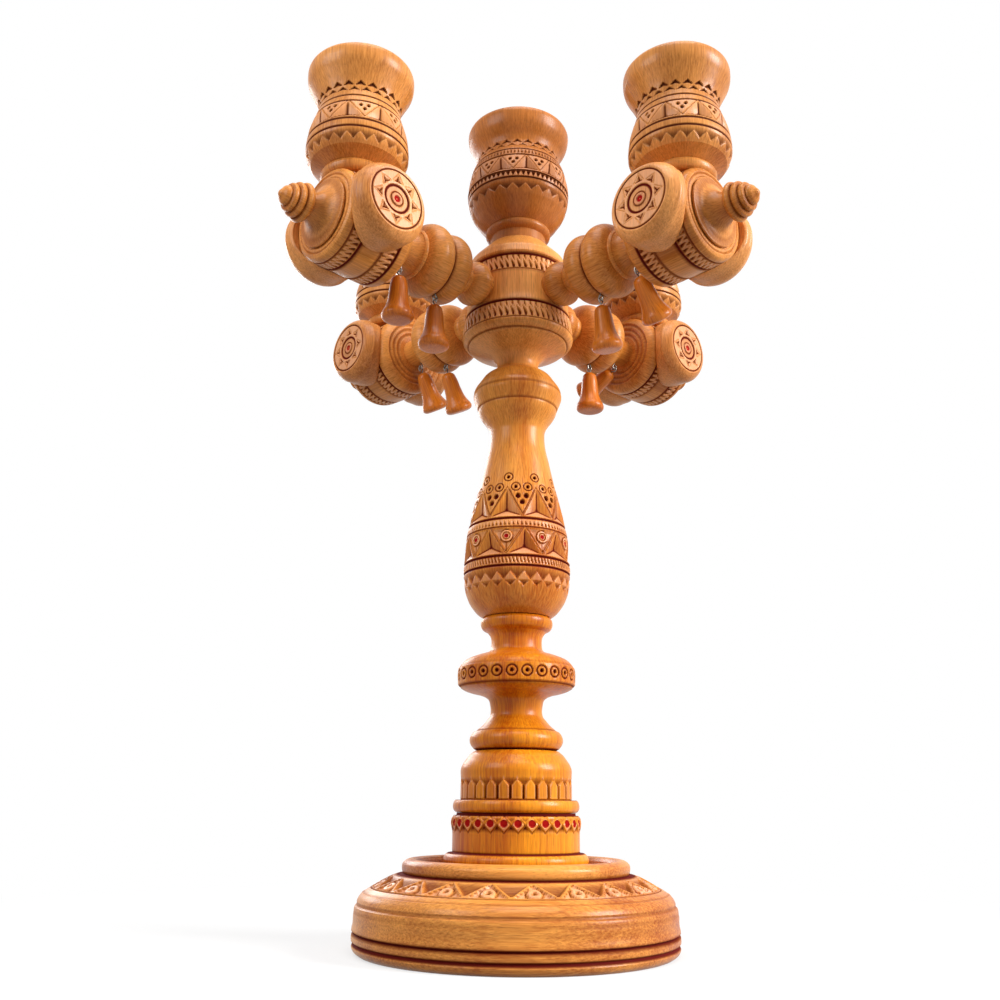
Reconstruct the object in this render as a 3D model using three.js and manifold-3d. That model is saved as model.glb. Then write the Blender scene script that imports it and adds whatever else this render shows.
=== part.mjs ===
// A turned and carved wooden candelabra: a round base, a baluster column, a hub
// with four level arms, and five candle cups. Two small wooden bells hang from
// every arm on wire eyes. Millimetres, +Z up, origin under the middle of the base.
import * as THREE from "three";
import { ConvexGeometry } from "three/addons/geometries/ConvexGeometry.js";
import { mergeVertices } from "three/addons/utils/BufferGeometryUtils.js";
import Module from "manifold-3d";

const wasm = await Module();
wasm.setup();

// Gap left between two glued pieces, and between linked wires.
const GAP = 0.3;

// Round tenons that hold the turned pieces together.
const COLUMN_TENON_RADIUS = 7.5;
const COLUMN_TENON_LENGTH = 13;
const ARM_TENON_RADIUS = 5.6;
const ARM_TENON_LENGTH = 13;
const CUP_TENON_RADIUS = 5.8;
const CUP_TENON_LENGTH = 12;
const MEDALLION_TENON_RADIUS = 4.8;
const MEDALLION_TENON_REACH = 9.4;
const FINIAL_TENON_RADIUS = 4.8;
const FINIAL_TENON_LENGTH = 11;

// Base disc: upright edge, rounded shoulder, carved slope, raised ring, recess.
const BASE_RADIUS = 71.3;
const BASE_FOOT_ROUND = 2.6;
const BASE_EDGE_HEIGHT = 12;
const BASE_SHOULDER_RADIUS = 66.6;
const BASE_SHOULDER_RISE = 12.6;
const BASE_SLOPE_RISE = 7.8;
const BASE_RING_RADIUS = 50;
const BASE_RING_WIDTH = 6.2;
const BASE_RING_HEIGHT = 5.6;
const BASE_RING_ROUND = 2;
const BASE_RECESS_DEPTH = 8;
const BASE_GROOVE_HEIGHTS = [4.3, 8.5];

// Carving. A groove is a V turned round a piece. A row of chips is count triangles, the
// first at a turn in degrees from the front, whose facets fall to one deepest point.
const GROOVE_WIDTH = 1.4;
const GROOVE_DEPTH = 0.8;
const KNIFE_RISE = 0.05;
const KNIFE_CLEARANCE = 2;

// The base's zigzag: chips that point down its slope, between sunk fields that point up
// it. A ring eye with a hole stands in each field.
const ZIGZAG_COUNT = 21;
const ZIGZAG_TURN = -1.6;
const ZIGZAG_MARGIN = 1.9;
const ZIGZAG_SPACING = 1.8;
const ZIGZAG_CHIP_DEPTH = 1.4;
const ZIGZAG_FIELD_DEPTH = 0.8;
const ZIGZAG_EYE_RISE = 1.4;
const ZIGZAG_EYE_RADIUS = 2.5;
const ZIGZAG_EYE_DROP = 0.2;
const ZIGZAG_EYE_HOLE_RADIUS = 0.8;
const ZIGZAG_EYE_HOLE_DEPTH = 1.6;

// Foot drum: a collar standing in the recess, and the drum with painted dots.
const COLLAR_RADIUS = 32;
const COLLAR_HEIGHT = 10.7;
const COLLAR_ROUND = 3;
const DRUM_RADIUS = 28.5;
const DRUM_HEIGHT = 16.5;
const DRUM_BEVEL = 1;

// Picket drum: a thin ring, the drum carved like a fence, and a shoulder.
const THIN_RING_RADIUS = 27.8;
const THIN_RING_HEIGHT = 5.4;
const PICKET_RADIUS = 25.2;
const PICKET_HEIGHT = 13.4;
const PICKET_SHOULDER_RADIUS = 22.9;
const PICKET_SHOULDER_RISE = 4;
const PICKET_TOP_RADIUS = 19;
const PICKET_TOP_RISE = 3.8;

// Disc stem: torus, waist, punched disc, second waist, bead.
const TORUS_RADIUS = 21.4;
const TORUS_EDGE_RADIUS = 18;
const TORUS_HEIGHT = 9.4;
const WAIST_RADIUS = 11.9;
const WAIST_FALL = 8.4;
const WAIST_RISE = 7;
const DISC_NECK_RADIUS = 14.6;
const DISC_RADIUS = 27.4;
const DISC_UNDERSIDE = 6.6;
const DISC_EDGE = 4.6;
const DISC_TOPSIDE = 8.5;
const UPPER_WAIST_RADIUS = 12;
const UPPER_WAIST_HEIGHT = 9.9;
const BEAD_RADIUS = 16.9;
const BEAD_EDGE_RADIUS = 15;
const BEAD_HEIGHT = 6.6;

// Baluster: the carved vase and the lined shoulder above it.
const VASE_FOOT_RADIUS = 16.4;
const VASE_BELLY_RADIUS = 25.6;
const VASE_BELLY_HEIGHT = 21.5;
const VASE_BELLY_BAND = 4;
const VASE_NECK_RADIUS = 13.6;
const VASE_TAPER = 67;
const SHOULDER_LOWER_RADIUS = 19.6;
const SHOULDER_LOWER_RISE = 12.5;
const SHOULDER_RADIUS = 22.2;
const SHOULDER_RISE = 8;
const SHOULDER_TOP_RADIUS = 12.5;
const SHOULDER_TOP_RISE = 13;

// Carving on the vase, at heights over its widest part: grooves, and two rows of chips.
const VASE_GROOVE_HEIGHTS = [-1.2, 3.3, 17.3, 21.7];
const VASE_LOWER_CHIPS = {
  count: 9, turn: 8.5, spacing: 1.4, base: 4.2, point: 16.6, deepest: 8.3, depth: 2.1,
};
const VASE_UPPER_CHIPS = {
  count: 9, turn: -13.5, spacing: 0.5, base: 22.7, point: 37.2, deepest: 26.6, depth: 2,
};

// Hub: a dish on a short neck, the banded drum that takes the arms, a sloped top.
const HUB_NECK_RADIUS = 11;
const HUB_NECK_HEIGHT = 4.6;
const HUB_DISH_ROOT_RADIUS = 13;
const HUB_DISH_ROOT_RISE = 3.1;
const HUB_DISH_RADIUS = 25;
const HUB_DISH_RISE = 5.6;
const HUB_RIM_RADIUS = 28.2;
const HUB_RIM_RISE = 5.2;
const HUB_RIM_BAND = 4.2;
const HUB_RIM_FALL = 10;
const HUB_RADIUS = 26;
const HUB_BAND_HEIGHT = 27.1;
const HUB_TOP_RADIUS = 15.2;
const HUB_TOP_RISE = 10.9;
const ARM_HEIGHT_ON_HUB = 38.9;

// Candle bores and the bowls turned into the cup mouths.
const CANDLE_BORE_RADIUS = 11.5;
const CANDLE_BORE_DEPTH = 25;
const MOUTH_DEPTH = 13;
const MOUTH_WALL = 2.4;
const RIM_BEVEL = 0.7;

// Centre cup.
const CENTRE_CUP = {
  footRadius: 14.6,
  footHeight: 5.2,
  collarRadius: 17.2,
  collarHeight: 5,
  collarTopRadius: 16.2,
  bellyRadius: 27.1,
  bellyRise: 21.3,
  waistRadius: 21.9,
  waistRise: 22,
  rimRadius: 27.3,
  rimRise: 15,
  lipRise: 1.8,
};

// Carving on the centre cup, at heights over its widest part.
const CENTRE_CUP_GROOVE_HEIGHTS = [-4, -0.6, 10.2, 14.5];
const CENTRE_CUP_CHIPS = {
  count: 12, turn: 9.4, spacing: 0.7, base: 0.3, point: 9.5, deepest: 2.3, depth: 1.7,
};
const CENTRE_CUP_TEETH = {
  count: 24, turn: 0.8, spacing: 0.4, base: -5.9, point: -10.4, deepest: -7.2, depth: 1.1,
};

// Arm cups, a little smaller and lower than the one in the middle.
const ARM_CUP = {
  footRadius: 14.4,
  footHeight: 0.4,
  collarRadius: 16,
  collarHeight: 5,
  collarTopRadius: 14.8,
  bellyRadius: 23.9,
  bellyRise: 11,
  waistRadius: 19.3,
  waistRise: 23,
  rimRadius: 25,
  rimRise: 16,
  lipRise: 4.6,
};

// Carving on an arm cup, at heights over its widest part. Each cup was glued in at a turn
// of its own, which ARMS gives.
const ARM_CUP_CHIPS = {
  count: 9, spacing: 0.7, base: 5.3, point: 14.9, deepest: 7.4, depth: 1.7,
};

// Arm spindle, outward from the hub: mushroom, bead, two balls, flange, neck.
const MUSHROOM_FOOT_RADIUS = 8.2;
const MUSHROOM_RADIUS = 11.1;
const MUSHROOM_LENGTH = 11.1;
const ARM_BEAD_EDGE_RADIUS = 6.9;
const ARM_BEAD_RADIUS = 7.9;
const ARM_BEAD_LENGTH = 4.8;
const INNER_BALL_EDGE_RADIUS = 9.5;
const INNER_BALL_RADIUS = 17.3;
const INNER_BALL_LENGTH = 14.1;
const BALL_GROOVE_RADIUS = 14.4;
const OUTER_BALL_RADIUS = 18.1;
const OUTER_BALL_EDGE_RADIUS = 12.4;
const OUTER_BALL_LENGTH = 13.7;
const FLANGE_RADIUS = 12.5;
const FLANGE_LENGTH = 2.4;
const ARM_NECK_RADIUS = 7.6;
const ARM_NECK_FLARE = 6;
const ARM_NECK_LENGTH = 6.3;

// Barrel at the arm's end, crossed by the cup and two medallions.
const BARREL_RADIUS = 22.3;
const BARREL_LENGTH = 36.5;
const BARREL_ROUND = 3.4;
const BARREL_END_RADIUS = 21;
const BARREL_END_BEVEL = 1.2;
const BARREL_TAPER_START = 14;
const CUP_PLACE_ON_BARREL = 20.5;
const CUP_SEAT_DEPTH = 1.8;

// Medallions on the barrel's sides.
const MEDALLION_RADIUS = 18.5;
const MEDALLION_BACK = 19;
const MEDALLION_BACK_RADIUS = 17;
const MEDALLION_BACK_ROUND = 3;
const MEDALLION_EDGE = 5.5;
const MEDALLION_FACE_RADIUS = 14.5;
const MEDALLION_FACE_RISE = 4.3;

// Finial: a flared foot, a stem, four rings and a point.
const FINIAL_FOOT_RADIUS = 16;
const FINIAL_FOOT_EDGE = 1;
const FINIAL_FLARE_LENGTH = 6.4;
const FINIAL_STEM_RADIUS = 5.8;
const FINIAL_STEM_LENGTH = 1.8;
const FINIAL_RINGS = [
  { radius: 8.9, length: 3.9 },
  { radius: 7.9, length: 2.9 },
  { radius: 6.3, length: 2.4 },
];
const FINIAL_RING_NOTCH = 1.4;
const FINIAL_TIP_RADIUS = 4.2;
const FINIAL_TIP_LENGTH = 4;

// Wire eyes and the bells that hang on them.
const WIRE_RADIUS = 0.4;
const EYE_LOOP_RADIUS = 1.3;
const EYE_SHANK_LENGTH = 4;
const ARM_EYE_NECK = 1;
const BELL_EYE_NECK = 0.6;
const OUTER_EYE_BEFORE_BARREL = 6.6;
const BELL_UNDER_RADIUS = 5;
const BELL_RADIUS = 7.5;
const BELL_LIP_RISE = 2.2;
const BELL_MIDDLE_RADIUS = 5.2;
const BELL_FLARE_RISE = 6.2;
const BELL_SHOULDER_RADIUS = 4.1;
const BELL_MIDDLE_RISE = 10;
const BELL_CAP_RADIUS = 3.3;
const BELL_SHOULDER_RISE = 3.3;
const BELL_TOP_RADIUS = 2;
const BELL_CAP_RISE = 1.5;

// Facets round each kind of turning, and steps along its curves.
const BASE_FACETS = 21;
const COLUMN_FACETS = 18;
const VASE_FACETS = 18;
const CENTRE_CUP_FACETS = 24;
const CUP_FACETS = 14;
const BARREL_FACETS = 14;
const SPINDLE_FACETS = 12;
const MEDALLION_FACETS = 12;
const FINIAL_FACETS = 8;
const BELL_FACETS = 8;
const WIRE_FACETS = 4;
const WIRE_STEPS = 10;
const WIRE_BORE_FACETS = 6;
const EYE_FACETS = 6;
const EYE_HOLE_FACETS = 4;
const SHORT_CURVE_STEPS = 2;
const LONG_CURVE_STEPS = 3;

// Arms by place, with the compass angle of each, the turn of its cup's chips, and the
// lean at which its two bells hang, in degrees towards the left of someone looking out
// along the arm.
const ARMS = [
  { place: "back_right", angle: 45, cupTurn: -1.3, innerLean: 0, outerLean: 68 },
  { place: "back_left", angle: 135, cupTurn: 8.7, innerLean: -26, outerLean: -30 },
  { place: "front_left", angle: 225, cupTurn: 10.7, innerLean: 0, outerLean: 0 },
  { place: "front_right", angle: 315, cupTurn: 19.7, innerLean: 10, outerLean: 38 },
];

const WOOD = { color: 0xc27a35, roughness: 0.42, metalness: 0 };
const BELL_WOOD = { color: 0xb05a16, roughness: 0.28, metalness: 0 };
const WIRE_METAL = { color: 0xc8c8c4, roughness: 0.3, metalness: 1 };

// The outline of a turning as radius and height, from the axis round to the axis.
class Outline {
  constructor(...points) {
    this.points = points.map(([radius, height]) => new THREE.Vector2(radius, height));
  }

  // A turning that stands on a flat foot.
  static onFoot(radius) {
    return new Outline([0, 0], [radius, 0]);
  }

  // A turning whose foot has a tenon below it.
  static onTenon(radius, tenonRadius, length) {
    return new Outline([0, -length], [tenonRadius, -length], [tenonRadius, 0], [radius, 0]);
  }

  // A turning whose foot has a blind bore for another piece's tenon.
  static overBore(radius, tenonRadius, depth) {
    const bore = tenonRadius + GAP;
    return new Outline([0, depth], [bore, depth], [bore, 0], [radius, 0]);
  }

  get radius() {
    return this.points.at(-1).x;
  }

  get height() {
    return this.points.at(-1).y;
  }

  to(radius, height) {
    this.points.push(new THREE.Vector2(radius, height));
    return this;
  }

  // A step in or out at the same height.
  step(radius) {
    return this.to(radius, this.height);
  }

  // A straight cut that rises by so much.
  rise(radius, rise) {
    return this.to(radius, this.height + rise);
  }

  // Points along a curve, given as the share of the way across and up.
  curve(radius, rise, steps, share) {
    const { radius: fromRadius, height: fromHeight } = this;
    for (let step = 1; step <= steps; step += 1) {
      const { across, up } = share(step / steps);
      this.to(fromRadius + (radius - fromRadius) * across, fromHeight + rise * up);
    }
    return this;
  }

  // A quarter of an ellipse that leaves square to the axis and ends along it.
  spread(radius, rise, steps = SHORT_CURVE_STEPS) {
    return this.curve(radius, rise, steps, (part) => {
      const turn = part * (Math.PI / 2);
      return { across: Math.sin(turn), up: 1 - Math.cos(turn) };
    });
  }

  // A quarter of an ellipse that leaves along the axis and ends square to it.
  close(radius, rise, steps = SHORT_CURVE_STEPS) {
    return this.curve(radius, rise, steps, (part) => {
      const turn = part * (Math.PI / 2);
      return { across: 1 - Math.cos(turn), up: Math.sin(turn) };
    });
  }

  // An S that leaves and ends along the axis.
  ogee(radius, rise, steps = LONG_CURVE_STEPS) {
    return this.curve(radius, rise, steps, (part) => {
      return { across: THREE.MathUtils.smoothstep(part, 0, 1), up: part };
    });
  }

  // A swelling to a greatest radius at its middle, and back in to another.
  bead(swell, radius, rise) {
    return this.spread(swell, rise / 2).close(radius, rise / 2);
  }

  // The end of the turning: a seat with a blind bore for another piece's tenon.
  endInBore(tenonRadius, depth) {
    this.seat = this.height;
    const bore = tenonRadius + GAP;
    return this.step(bore).rise(bore, -depth).step(0);
  }

  // The end of the turning: a tenon of its own.
  endInTenon(tenonRadius, length) {
    this.seat = this.height;
    return this.step(tenonRadius).rise(tenonRadius, length).step(0);
  }

  // The end of the turning: a flat face.
  endFlat() {
    this.seat = this.height;
    return this.step(0);
  }

  // The point of the outside at a height, the way square out of it there, and the place
  // in the outline of the point that comes after it.
  outside(height) {
    const next = this.points.findIndex((point, index) => {
      return index > 0 && point.y > height && this.points[index - 1].y <= height;
    });
    const from = this.points[next - 1];
    const along = this.points[next].clone().sub(from);
    const point = from.clone().addScaledVector(along, (height - from.y) / along.y);
    return { point, out: new THREE.Vector2(along.y, -along.x).normalize(), next };
  }

  // V grooves round the outside at these heights over another.
  groove(heights, over = 0) {
    for (const height of heights) {
      const low = this.outside(over + height - GROOVE_WIDTH / 2);
      const middle = this.outside(over + height);
      const high = this.outside(over + height + GROOVE_WIDTH / 2);
      const floor = middle.point.addScaledVector(middle.out, -GROOVE_DEPTH);
      this.points.splice(low.next, high.next - low.next, low.point, floor, high.point);
    }
    return this;
  }

  // How many facets the turning has, with one of their edges at a turn in degrees.
  faceted(facets, edge = 0) {
    this.facets = facets;
    this.edge = THREE.MathUtils.degToRad(edge);
    return this;
  }

  // The share of the full radius at which the flats lie, at an angle from the front.
  flatness(angle) {
    const half = Math.PI / this.facets;
    const past = THREE.MathUtils.euclideanModulo(angle - this.edge, 2 * half);
    return Math.cos(half) / Math.cos(past - half);
  }

  // The solid, turned about Z.
  turn(facets = this.facets, edge = this.edge ?? 0) {
    return new THREE.LatheGeometry(this.points, facets, edge).rotateX(Math.PI / 2);
  }
}

// A rod along Z between two heights, for bores, seats and pins.
function rod(radius, bottom, top, facets) {
  return new Outline([0, bottom], [radius, bottom], [radius, top], [0, top]).turn(facets);
}

// The same shape with its Z axis laid along X.
function alongX(geometry) {
  return geometry.rotateY(Math.PI / 2);
}

function toSolid(geometry) {
  const bare = geometry.clone();
  bare.deleteAttribute("normal");
  bare.deleteAttribute("uv");
  const merged = mergeVertices(bare);
  return new wasm.Manifold(new wasm.Mesh({
    numProp: 3,
    vertProperties: merged.attributes.position.array,
    triVerts: new Uint32Array(merged.index.array),
  }));
}

function toGeometry(solid) {
  const { vertProperties, triVerts } = solid.getMesh();
  const geometry = new THREE.BufferGeometry();
  geometry.setAttribute("position", new THREE.BufferAttribute(vertProperties, 3));
  geometry.setIndex(new THREE.BufferAttribute(triVerts, 1));
  geometry.computeVertexNormals();
  return geometry;
}

// A shape with bores, seats and chips cut out of it.
function cut(geometry, ...cutters) {
  let solid = toSolid(geometry);
  for (const cutter of cutters) {
    solid = solid.subtract(toSolid(cutter));
  }
  return toGeometry(solid);
}

// A shape with others joined to it.
function join(geometry, ...others) {
  let solid = toSolid(geometry);
  for (const other of others) {
    solid = solid.add(toSolid(other));
  }
  return toGeometry(solid);
}

// A point under the facets of a turning: at a turn in degrees from the front, then so
// far across to the right of that, at a height, and sunk square to the outline.
function under(outline, turn, across, height, depth) {
  const { point, out } = outline.outside(height);
  const angle = THREE.MathUtils.degToRad(turn) + across / point.x;
  const { x, y: level } = point.addScaledVector(out, -depth);
  const radius = x * outline.flatness(angle);
  return new THREE.Vector3(radius * Math.sin(angle), -radius * Math.cos(angle), level);
}

// The shape that the knife takes out at a turn: from its floor points up to its corners,
// just over the surface, and on out of the wood.
function knife(outline, turn, corners, floors) {
  return new ConvexGeometry([
    ...floors.map(([across, height, depth]) => under(outline, turn, across, height, depth)),
    ...corners.map(([across, height]) => under(outline, turn, across, height, -KNIFE_RISE)),
    ...corners.map(([across, height]) => under(outline, turn, across, height, -KNIFE_CLEARANCE)),
  ]);
}

// The turns of a row's places round a piece.
function turns(count, first) {
  return Array.from({ length: count }, (_, index) => first + (360 * index) / count);
}

// The width that a row leaves for each of its triangles at its base line.
function chipWidth(outline, base, count, spacing) {
  return (2 * Math.PI * outline.outside(base).point.x) / count - spacing;
}

// The cutters for a row of chips, whose heights are over another.
function chipRow(outline, over, row) {
  const base = over + row.base;
  const side = chipWidth(outline, base, row.count, row.spacing) / 2;
  return turns(row.count, row.turn).map((turn) => {
    const corners = [[-side, base], [0, base], [side, base], [0, over + row.point]];
    return knife(outline, turn, corners, [[0, over + row.deepest, row.depth]]);
  });
}

function baseDisc() {
  const recessRadius = BASE_RING_RADIUS - BASE_RING_WIDTH;
  return Outline.onFoot(BASE_RADIUS - BASE_FOOT_ROUND)
    .spread(BASE_RADIUS, BASE_FOOT_ROUND)
    .rise(BASE_RADIUS, BASE_EDGE_HEIGHT - BASE_FOOT_ROUND)
    .close(BASE_SHOULDER_RADIUS, BASE_SHOULDER_RISE, LONG_CURVE_STEPS)
    .rise(BASE_RING_RADIUS, BASE_SLOPE_RISE)
    .rise(BASE_RING_RADIUS, BASE_RING_HEIGHT - BASE_RING_ROUND)
    .close(BASE_RING_RADIUS - BASE_RING_ROUND, BASE_RING_ROUND)
    .step(recessRadius)
    .rise(recessRadius, -BASE_RECESS_DEPTH)
    .endInBore(COLUMN_TENON_RADIUS, COLUMN_TENON_LENGTH)
    .groove(BASE_GROOVE_HEIGHTS)
    .faceted(BASE_FACETS, ZIGZAG_TURN);
}

// The lower and upper edge of the zigzag on the base's slope.
const ZIGZAG_LOW = BASE_EDGE_HEIGHT + BASE_SHOULDER_RISE + ZIGZAG_MARGIN;
const ZIGZAG_HIGH = ZIGZAG_LOW + BASE_SLOPE_RISE - 2 * ZIGZAG_MARGIN;

// The cutter for a field that is sunk to a level floor and points up the slope.
function zigzagField(outline, turn) {
  const side = chipWidth(outline, ZIGZAG_LOW, ZIGZAG_COUNT, ZIGZAG_SPACING) / 2;
  const corners = [[-side, ZIGZAG_LOW], [side, ZIGZAG_LOW], [0, ZIGZAG_HIGH]];
  const depth = ZIGZAG_FIELD_DEPTH;
  return knife(outline, turn, corners, [
    [2 * depth - side, ZIGZAG_LOW + depth / 2, depth],
    [side - 2 * depth, ZIGZAG_LOW + depth / 2, depth],
    [0, ZIGZAG_HIGH - depth, depth],
  ]);
}

// A rod square to the slope in a field, between two heights over its surface.
function eyeRod(outline, turn, radius, bottom, top, facets) {
  const height = ZIGZAG_LOW + ZIGZAG_EYE_RISE;
  const middle = under(outline, turn, 0, height, 0);
  const out = under(outline, turn, 0, height, -1).sub(middle).normalize();
  const upright = new THREE.Quaternion().setFromUnitVectors(new THREE.Vector3(0, 0, 1), out);
  return rod(radius, bottom, top, facets).applyQuaternion(upright).translate(...middle);
}

// The base disc with its zigzag: chips, fields between them, and the eyes in the fields.
function carvedBase(outline) {
  const chips = chipRow(outline, 0, {
    count: ZIGZAG_COUNT,
    turn: ZIGZAG_TURN,
    spacing: ZIGZAG_SPACING,
    base: ZIGZAG_HIGH,
    point: ZIGZAG_LOW,
    deepest: THREE.MathUtils.lerp(ZIGZAG_LOW, ZIGZAG_HIGH, 2 / 3),
    depth: ZIGZAG_CHIP_DEPTH,
  });
  const between = turns(ZIGZAG_COUNT, ZIGZAG_TURN + 180 / ZIGZAG_COUNT);
  const fields = between.map((turn) => zigzagField(outline, turn));
  const eyes = between.map((turn) => {
    const foot = -ZIGZAG_FIELD_DEPTH - GAP;
    return eyeRod(outline, turn, ZIGZAG_EYE_RADIUS, foot, -ZIGZAG_EYE_DROP, EYE_FACETS);
  });
  const holes = between.map((turn) => {
    const floor = -ZIGZAG_EYE_HOLE_DEPTH;
    return eyeRod(outline, turn, ZIGZAG_EYE_HOLE_RADIUS, floor, KNIFE_CLEARANCE, EYE_HOLE_FACETS);
  });
  return cut(join(cut(outline.turn(), ...chips, ...fields), ...eyes), ...holes);
}

function footDrum() {
  return Outline.onTenon(COLLAR_RADIUS, COLUMN_TENON_RADIUS, COLUMN_TENON_LENGTH)
    .rise(COLLAR_RADIUS, COLLAR_HEIGHT - COLLAR_ROUND)
    .close(DRUM_RADIUS, COLLAR_ROUND)
    .rise(DRUM_RADIUS, DRUM_HEIGHT - DRUM_BEVEL)
    .rise(DRUM_RADIUS - DRUM_BEVEL, DRUM_BEVEL)
    .endInBore(COLUMN_TENON_RADIUS, COLUMN_TENON_LENGTH);
}

function picketDrum() {
  return Outline.onTenon(THIN_RING_RADIUS, COLUMN_TENON_RADIUS, COLUMN_TENON_LENGTH)
    .rise(THIN_RING_RADIUS, THIN_RING_HEIGHT)
    .step(PICKET_RADIUS)
    .rise(PICKET_RADIUS, PICKET_HEIGHT)
    .rise(PICKET_SHOULDER_RADIUS, PICKET_SHOULDER_RISE)
    .rise(PICKET_TOP_RADIUS, PICKET_TOP_RISE)
    .endInBore(COLUMN_TENON_RADIUS, COLUMN_TENON_LENGTH);
}

function discStem() {
  return Outline.onTenon(TORUS_EDGE_RADIUS, COLUMN_TENON_RADIUS, COLUMN_TENON_LENGTH)
    .bead(TORUS_RADIUS, TORUS_EDGE_RADIUS, TORUS_HEIGHT)
    .spread(WAIST_RADIUS, WAIST_FALL)
    .close(DISC_NECK_RADIUS, WAIST_RISE)
    .spread(DISC_RADIUS, DISC_UNDERSIDE)
    .rise(DISC_RADIUS, DISC_EDGE)
    .close(DISC_NECK_RADIUS, DISC_TOPSIDE, LONG_CURVE_STEPS)
    .spread(UPPER_WAIST_RADIUS, UPPER_WAIST_HEIGHT / 2)
    .close(BEAD_EDGE_RADIUS, UPPER_WAIST_HEIGHT / 2)
    .bead(BEAD_RADIUS, BEAD_EDGE_RADIUS, BEAD_HEIGHT)
    .endInBore(COLUMN_TENON_RADIUS, COLUMN_TENON_LENGTH);
}

function baluster() {
  return Outline.onTenon(VASE_FOOT_RADIUS, COLUMN_TENON_RADIUS, COLUMN_TENON_LENGTH)
    .spread(VASE_BELLY_RADIUS, VASE_BELLY_HEIGHT, LONG_CURVE_STEPS)
    .rise(VASE_BELLY_RADIUS, VASE_BELLY_BAND)
    .ogee(VASE_NECK_RADIUS, VASE_TAPER, LONG_CURVE_STEPS + 1)
    .ogee(SHOULDER_LOWER_RADIUS, SHOULDER_LOWER_RISE)
    .rise(SHOULDER_RADIUS, SHOULDER_RISE)
    .close(SHOULDER_TOP_RADIUS, SHOULDER_TOP_RISE, LONG_CURVE_STEPS)
    .endInBore(COLUMN_TENON_RADIUS, COLUMN_TENON_LENGTH)
    .groove(VASE_GROOVE_HEIGHTS, VASE_BELLY_HEIGHT)
    .faceted(VASE_FACETS, VASE_UPPER_CHIPS.turn);
}

function vaseChips(outline) {
  return [VASE_LOWER_CHIPS, VASE_UPPER_CHIPS].flatMap((row) => {
    return chipRow(outline, VASE_BELLY_HEIGHT, row);
  });
}

function hub() {
  return Outline.onTenon(HUB_NECK_RADIUS, COLUMN_TENON_RADIUS, COLUMN_TENON_LENGTH)
    .rise(HUB_NECK_RADIUS, HUB_NECK_HEIGHT)
    .rise(HUB_DISH_ROOT_RADIUS, HUB_DISH_ROOT_RISE)
    .rise(HUB_DISH_RADIUS, HUB_DISH_RISE)
    .spread(HUB_RIM_RADIUS, HUB_RIM_RISE)
    .rise(HUB_RIM_RADIUS, HUB_RIM_BAND)
    .rise(HUB_RADIUS, HUB_RIM_FALL)
    .rise(HUB_RADIUS, HUB_BAND_HEIGHT)
    .rise(HUB_TOP_RADIUS, HUB_TOP_RISE)
    .endInBore(COLUMN_TENON_RADIUS, COLUMN_TENON_LENGTH);
}

// The hub's four blind bores, one towards each arm.
function armBores() {
  const outside = HUB_RADIUS + HUB_RIM_RADIUS;
  const bottom = HUB_RADIUS - ARM_TENON_LENGTH;
  return ARMS.map(({ angle }) => {
    const bore = rod(ARM_TENON_RADIUS + GAP, bottom, outside, SPINDLE_FACETS);
    return alongX(bore)
      .rotateZ(THREE.MathUtils.degToRad(angle))
      .translate(0, 0, ARM_HEIGHT_ON_HUB);
  });
}

// A candle cup: collar, round body, waist, open mouth, and a blind candle bore.
function candleCup(cup, tenonRadius, tenonLength) {
  const mouthRadius = cup.rimRadius - MOUTH_WALL;
  return Outline.onTenon(cup.footRadius, tenonRadius, tenonLength)
    .rise(cup.footRadius, cup.footHeight)
    .bead(cup.collarRadius, cup.collarTopRadius, cup.collarHeight)
    .spread(cup.bellyRadius, cup.bellyRise, LONG_CURVE_STEPS)
    .ogee(cup.waistRadius, cup.waistRise)
    .ogee(cup.rimRadius, cup.rimRise)
    .rise(cup.rimRadius - RIM_BEVEL, cup.lipRise)
    .step(mouthRadius)
    .close(CANDLE_BORE_RADIUS, -MOUTH_DEPTH, LONG_CURVE_STEPS)
    .rise(CANDLE_BORE_RADIUS, -CANDLE_BORE_DEPTH)
    .endFlat();
}

// The height of a cup's widest part over its seat.
function bellyHeight(cup) {
  return cup.footHeight + cup.collarHeight + cup.bellyRise;
}

// Places along an arm, measured outward from the column's axis.
const SPINDLE_START = HUB_RADIUS + GAP;
const INNER_EYE_PLACE =
  SPINDLE_START + MUSHROOM_LENGTH + ARM_BEAD_LENGTH + INNER_BALL_LENGTH;
const BARREL_START =
  INNER_EYE_PLACE + OUTER_BALL_LENGTH + FLANGE_LENGTH + ARM_NECK_FLARE
  + ARM_NECK_LENGTH + GAP;
const OUTER_EYE_PLACE = BARREL_START - OUTER_EYE_BEFORE_BARREL;
const CUP_PLACE = BARREL_START + CUP_PLACE_ON_BARREL;
const FINIAL_PLACE = BARREL_START + BARREL_LENGTH + GAP;
const CUP_SEAT_HEIGHT = BARREL_RADIUS - CUP_SEAT_DEPTH;

// How far a wire loop reaches from its middle.
const EYE_REACH = EYE_LOOP_RADIUS + WIRE_RADIUS;

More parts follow.
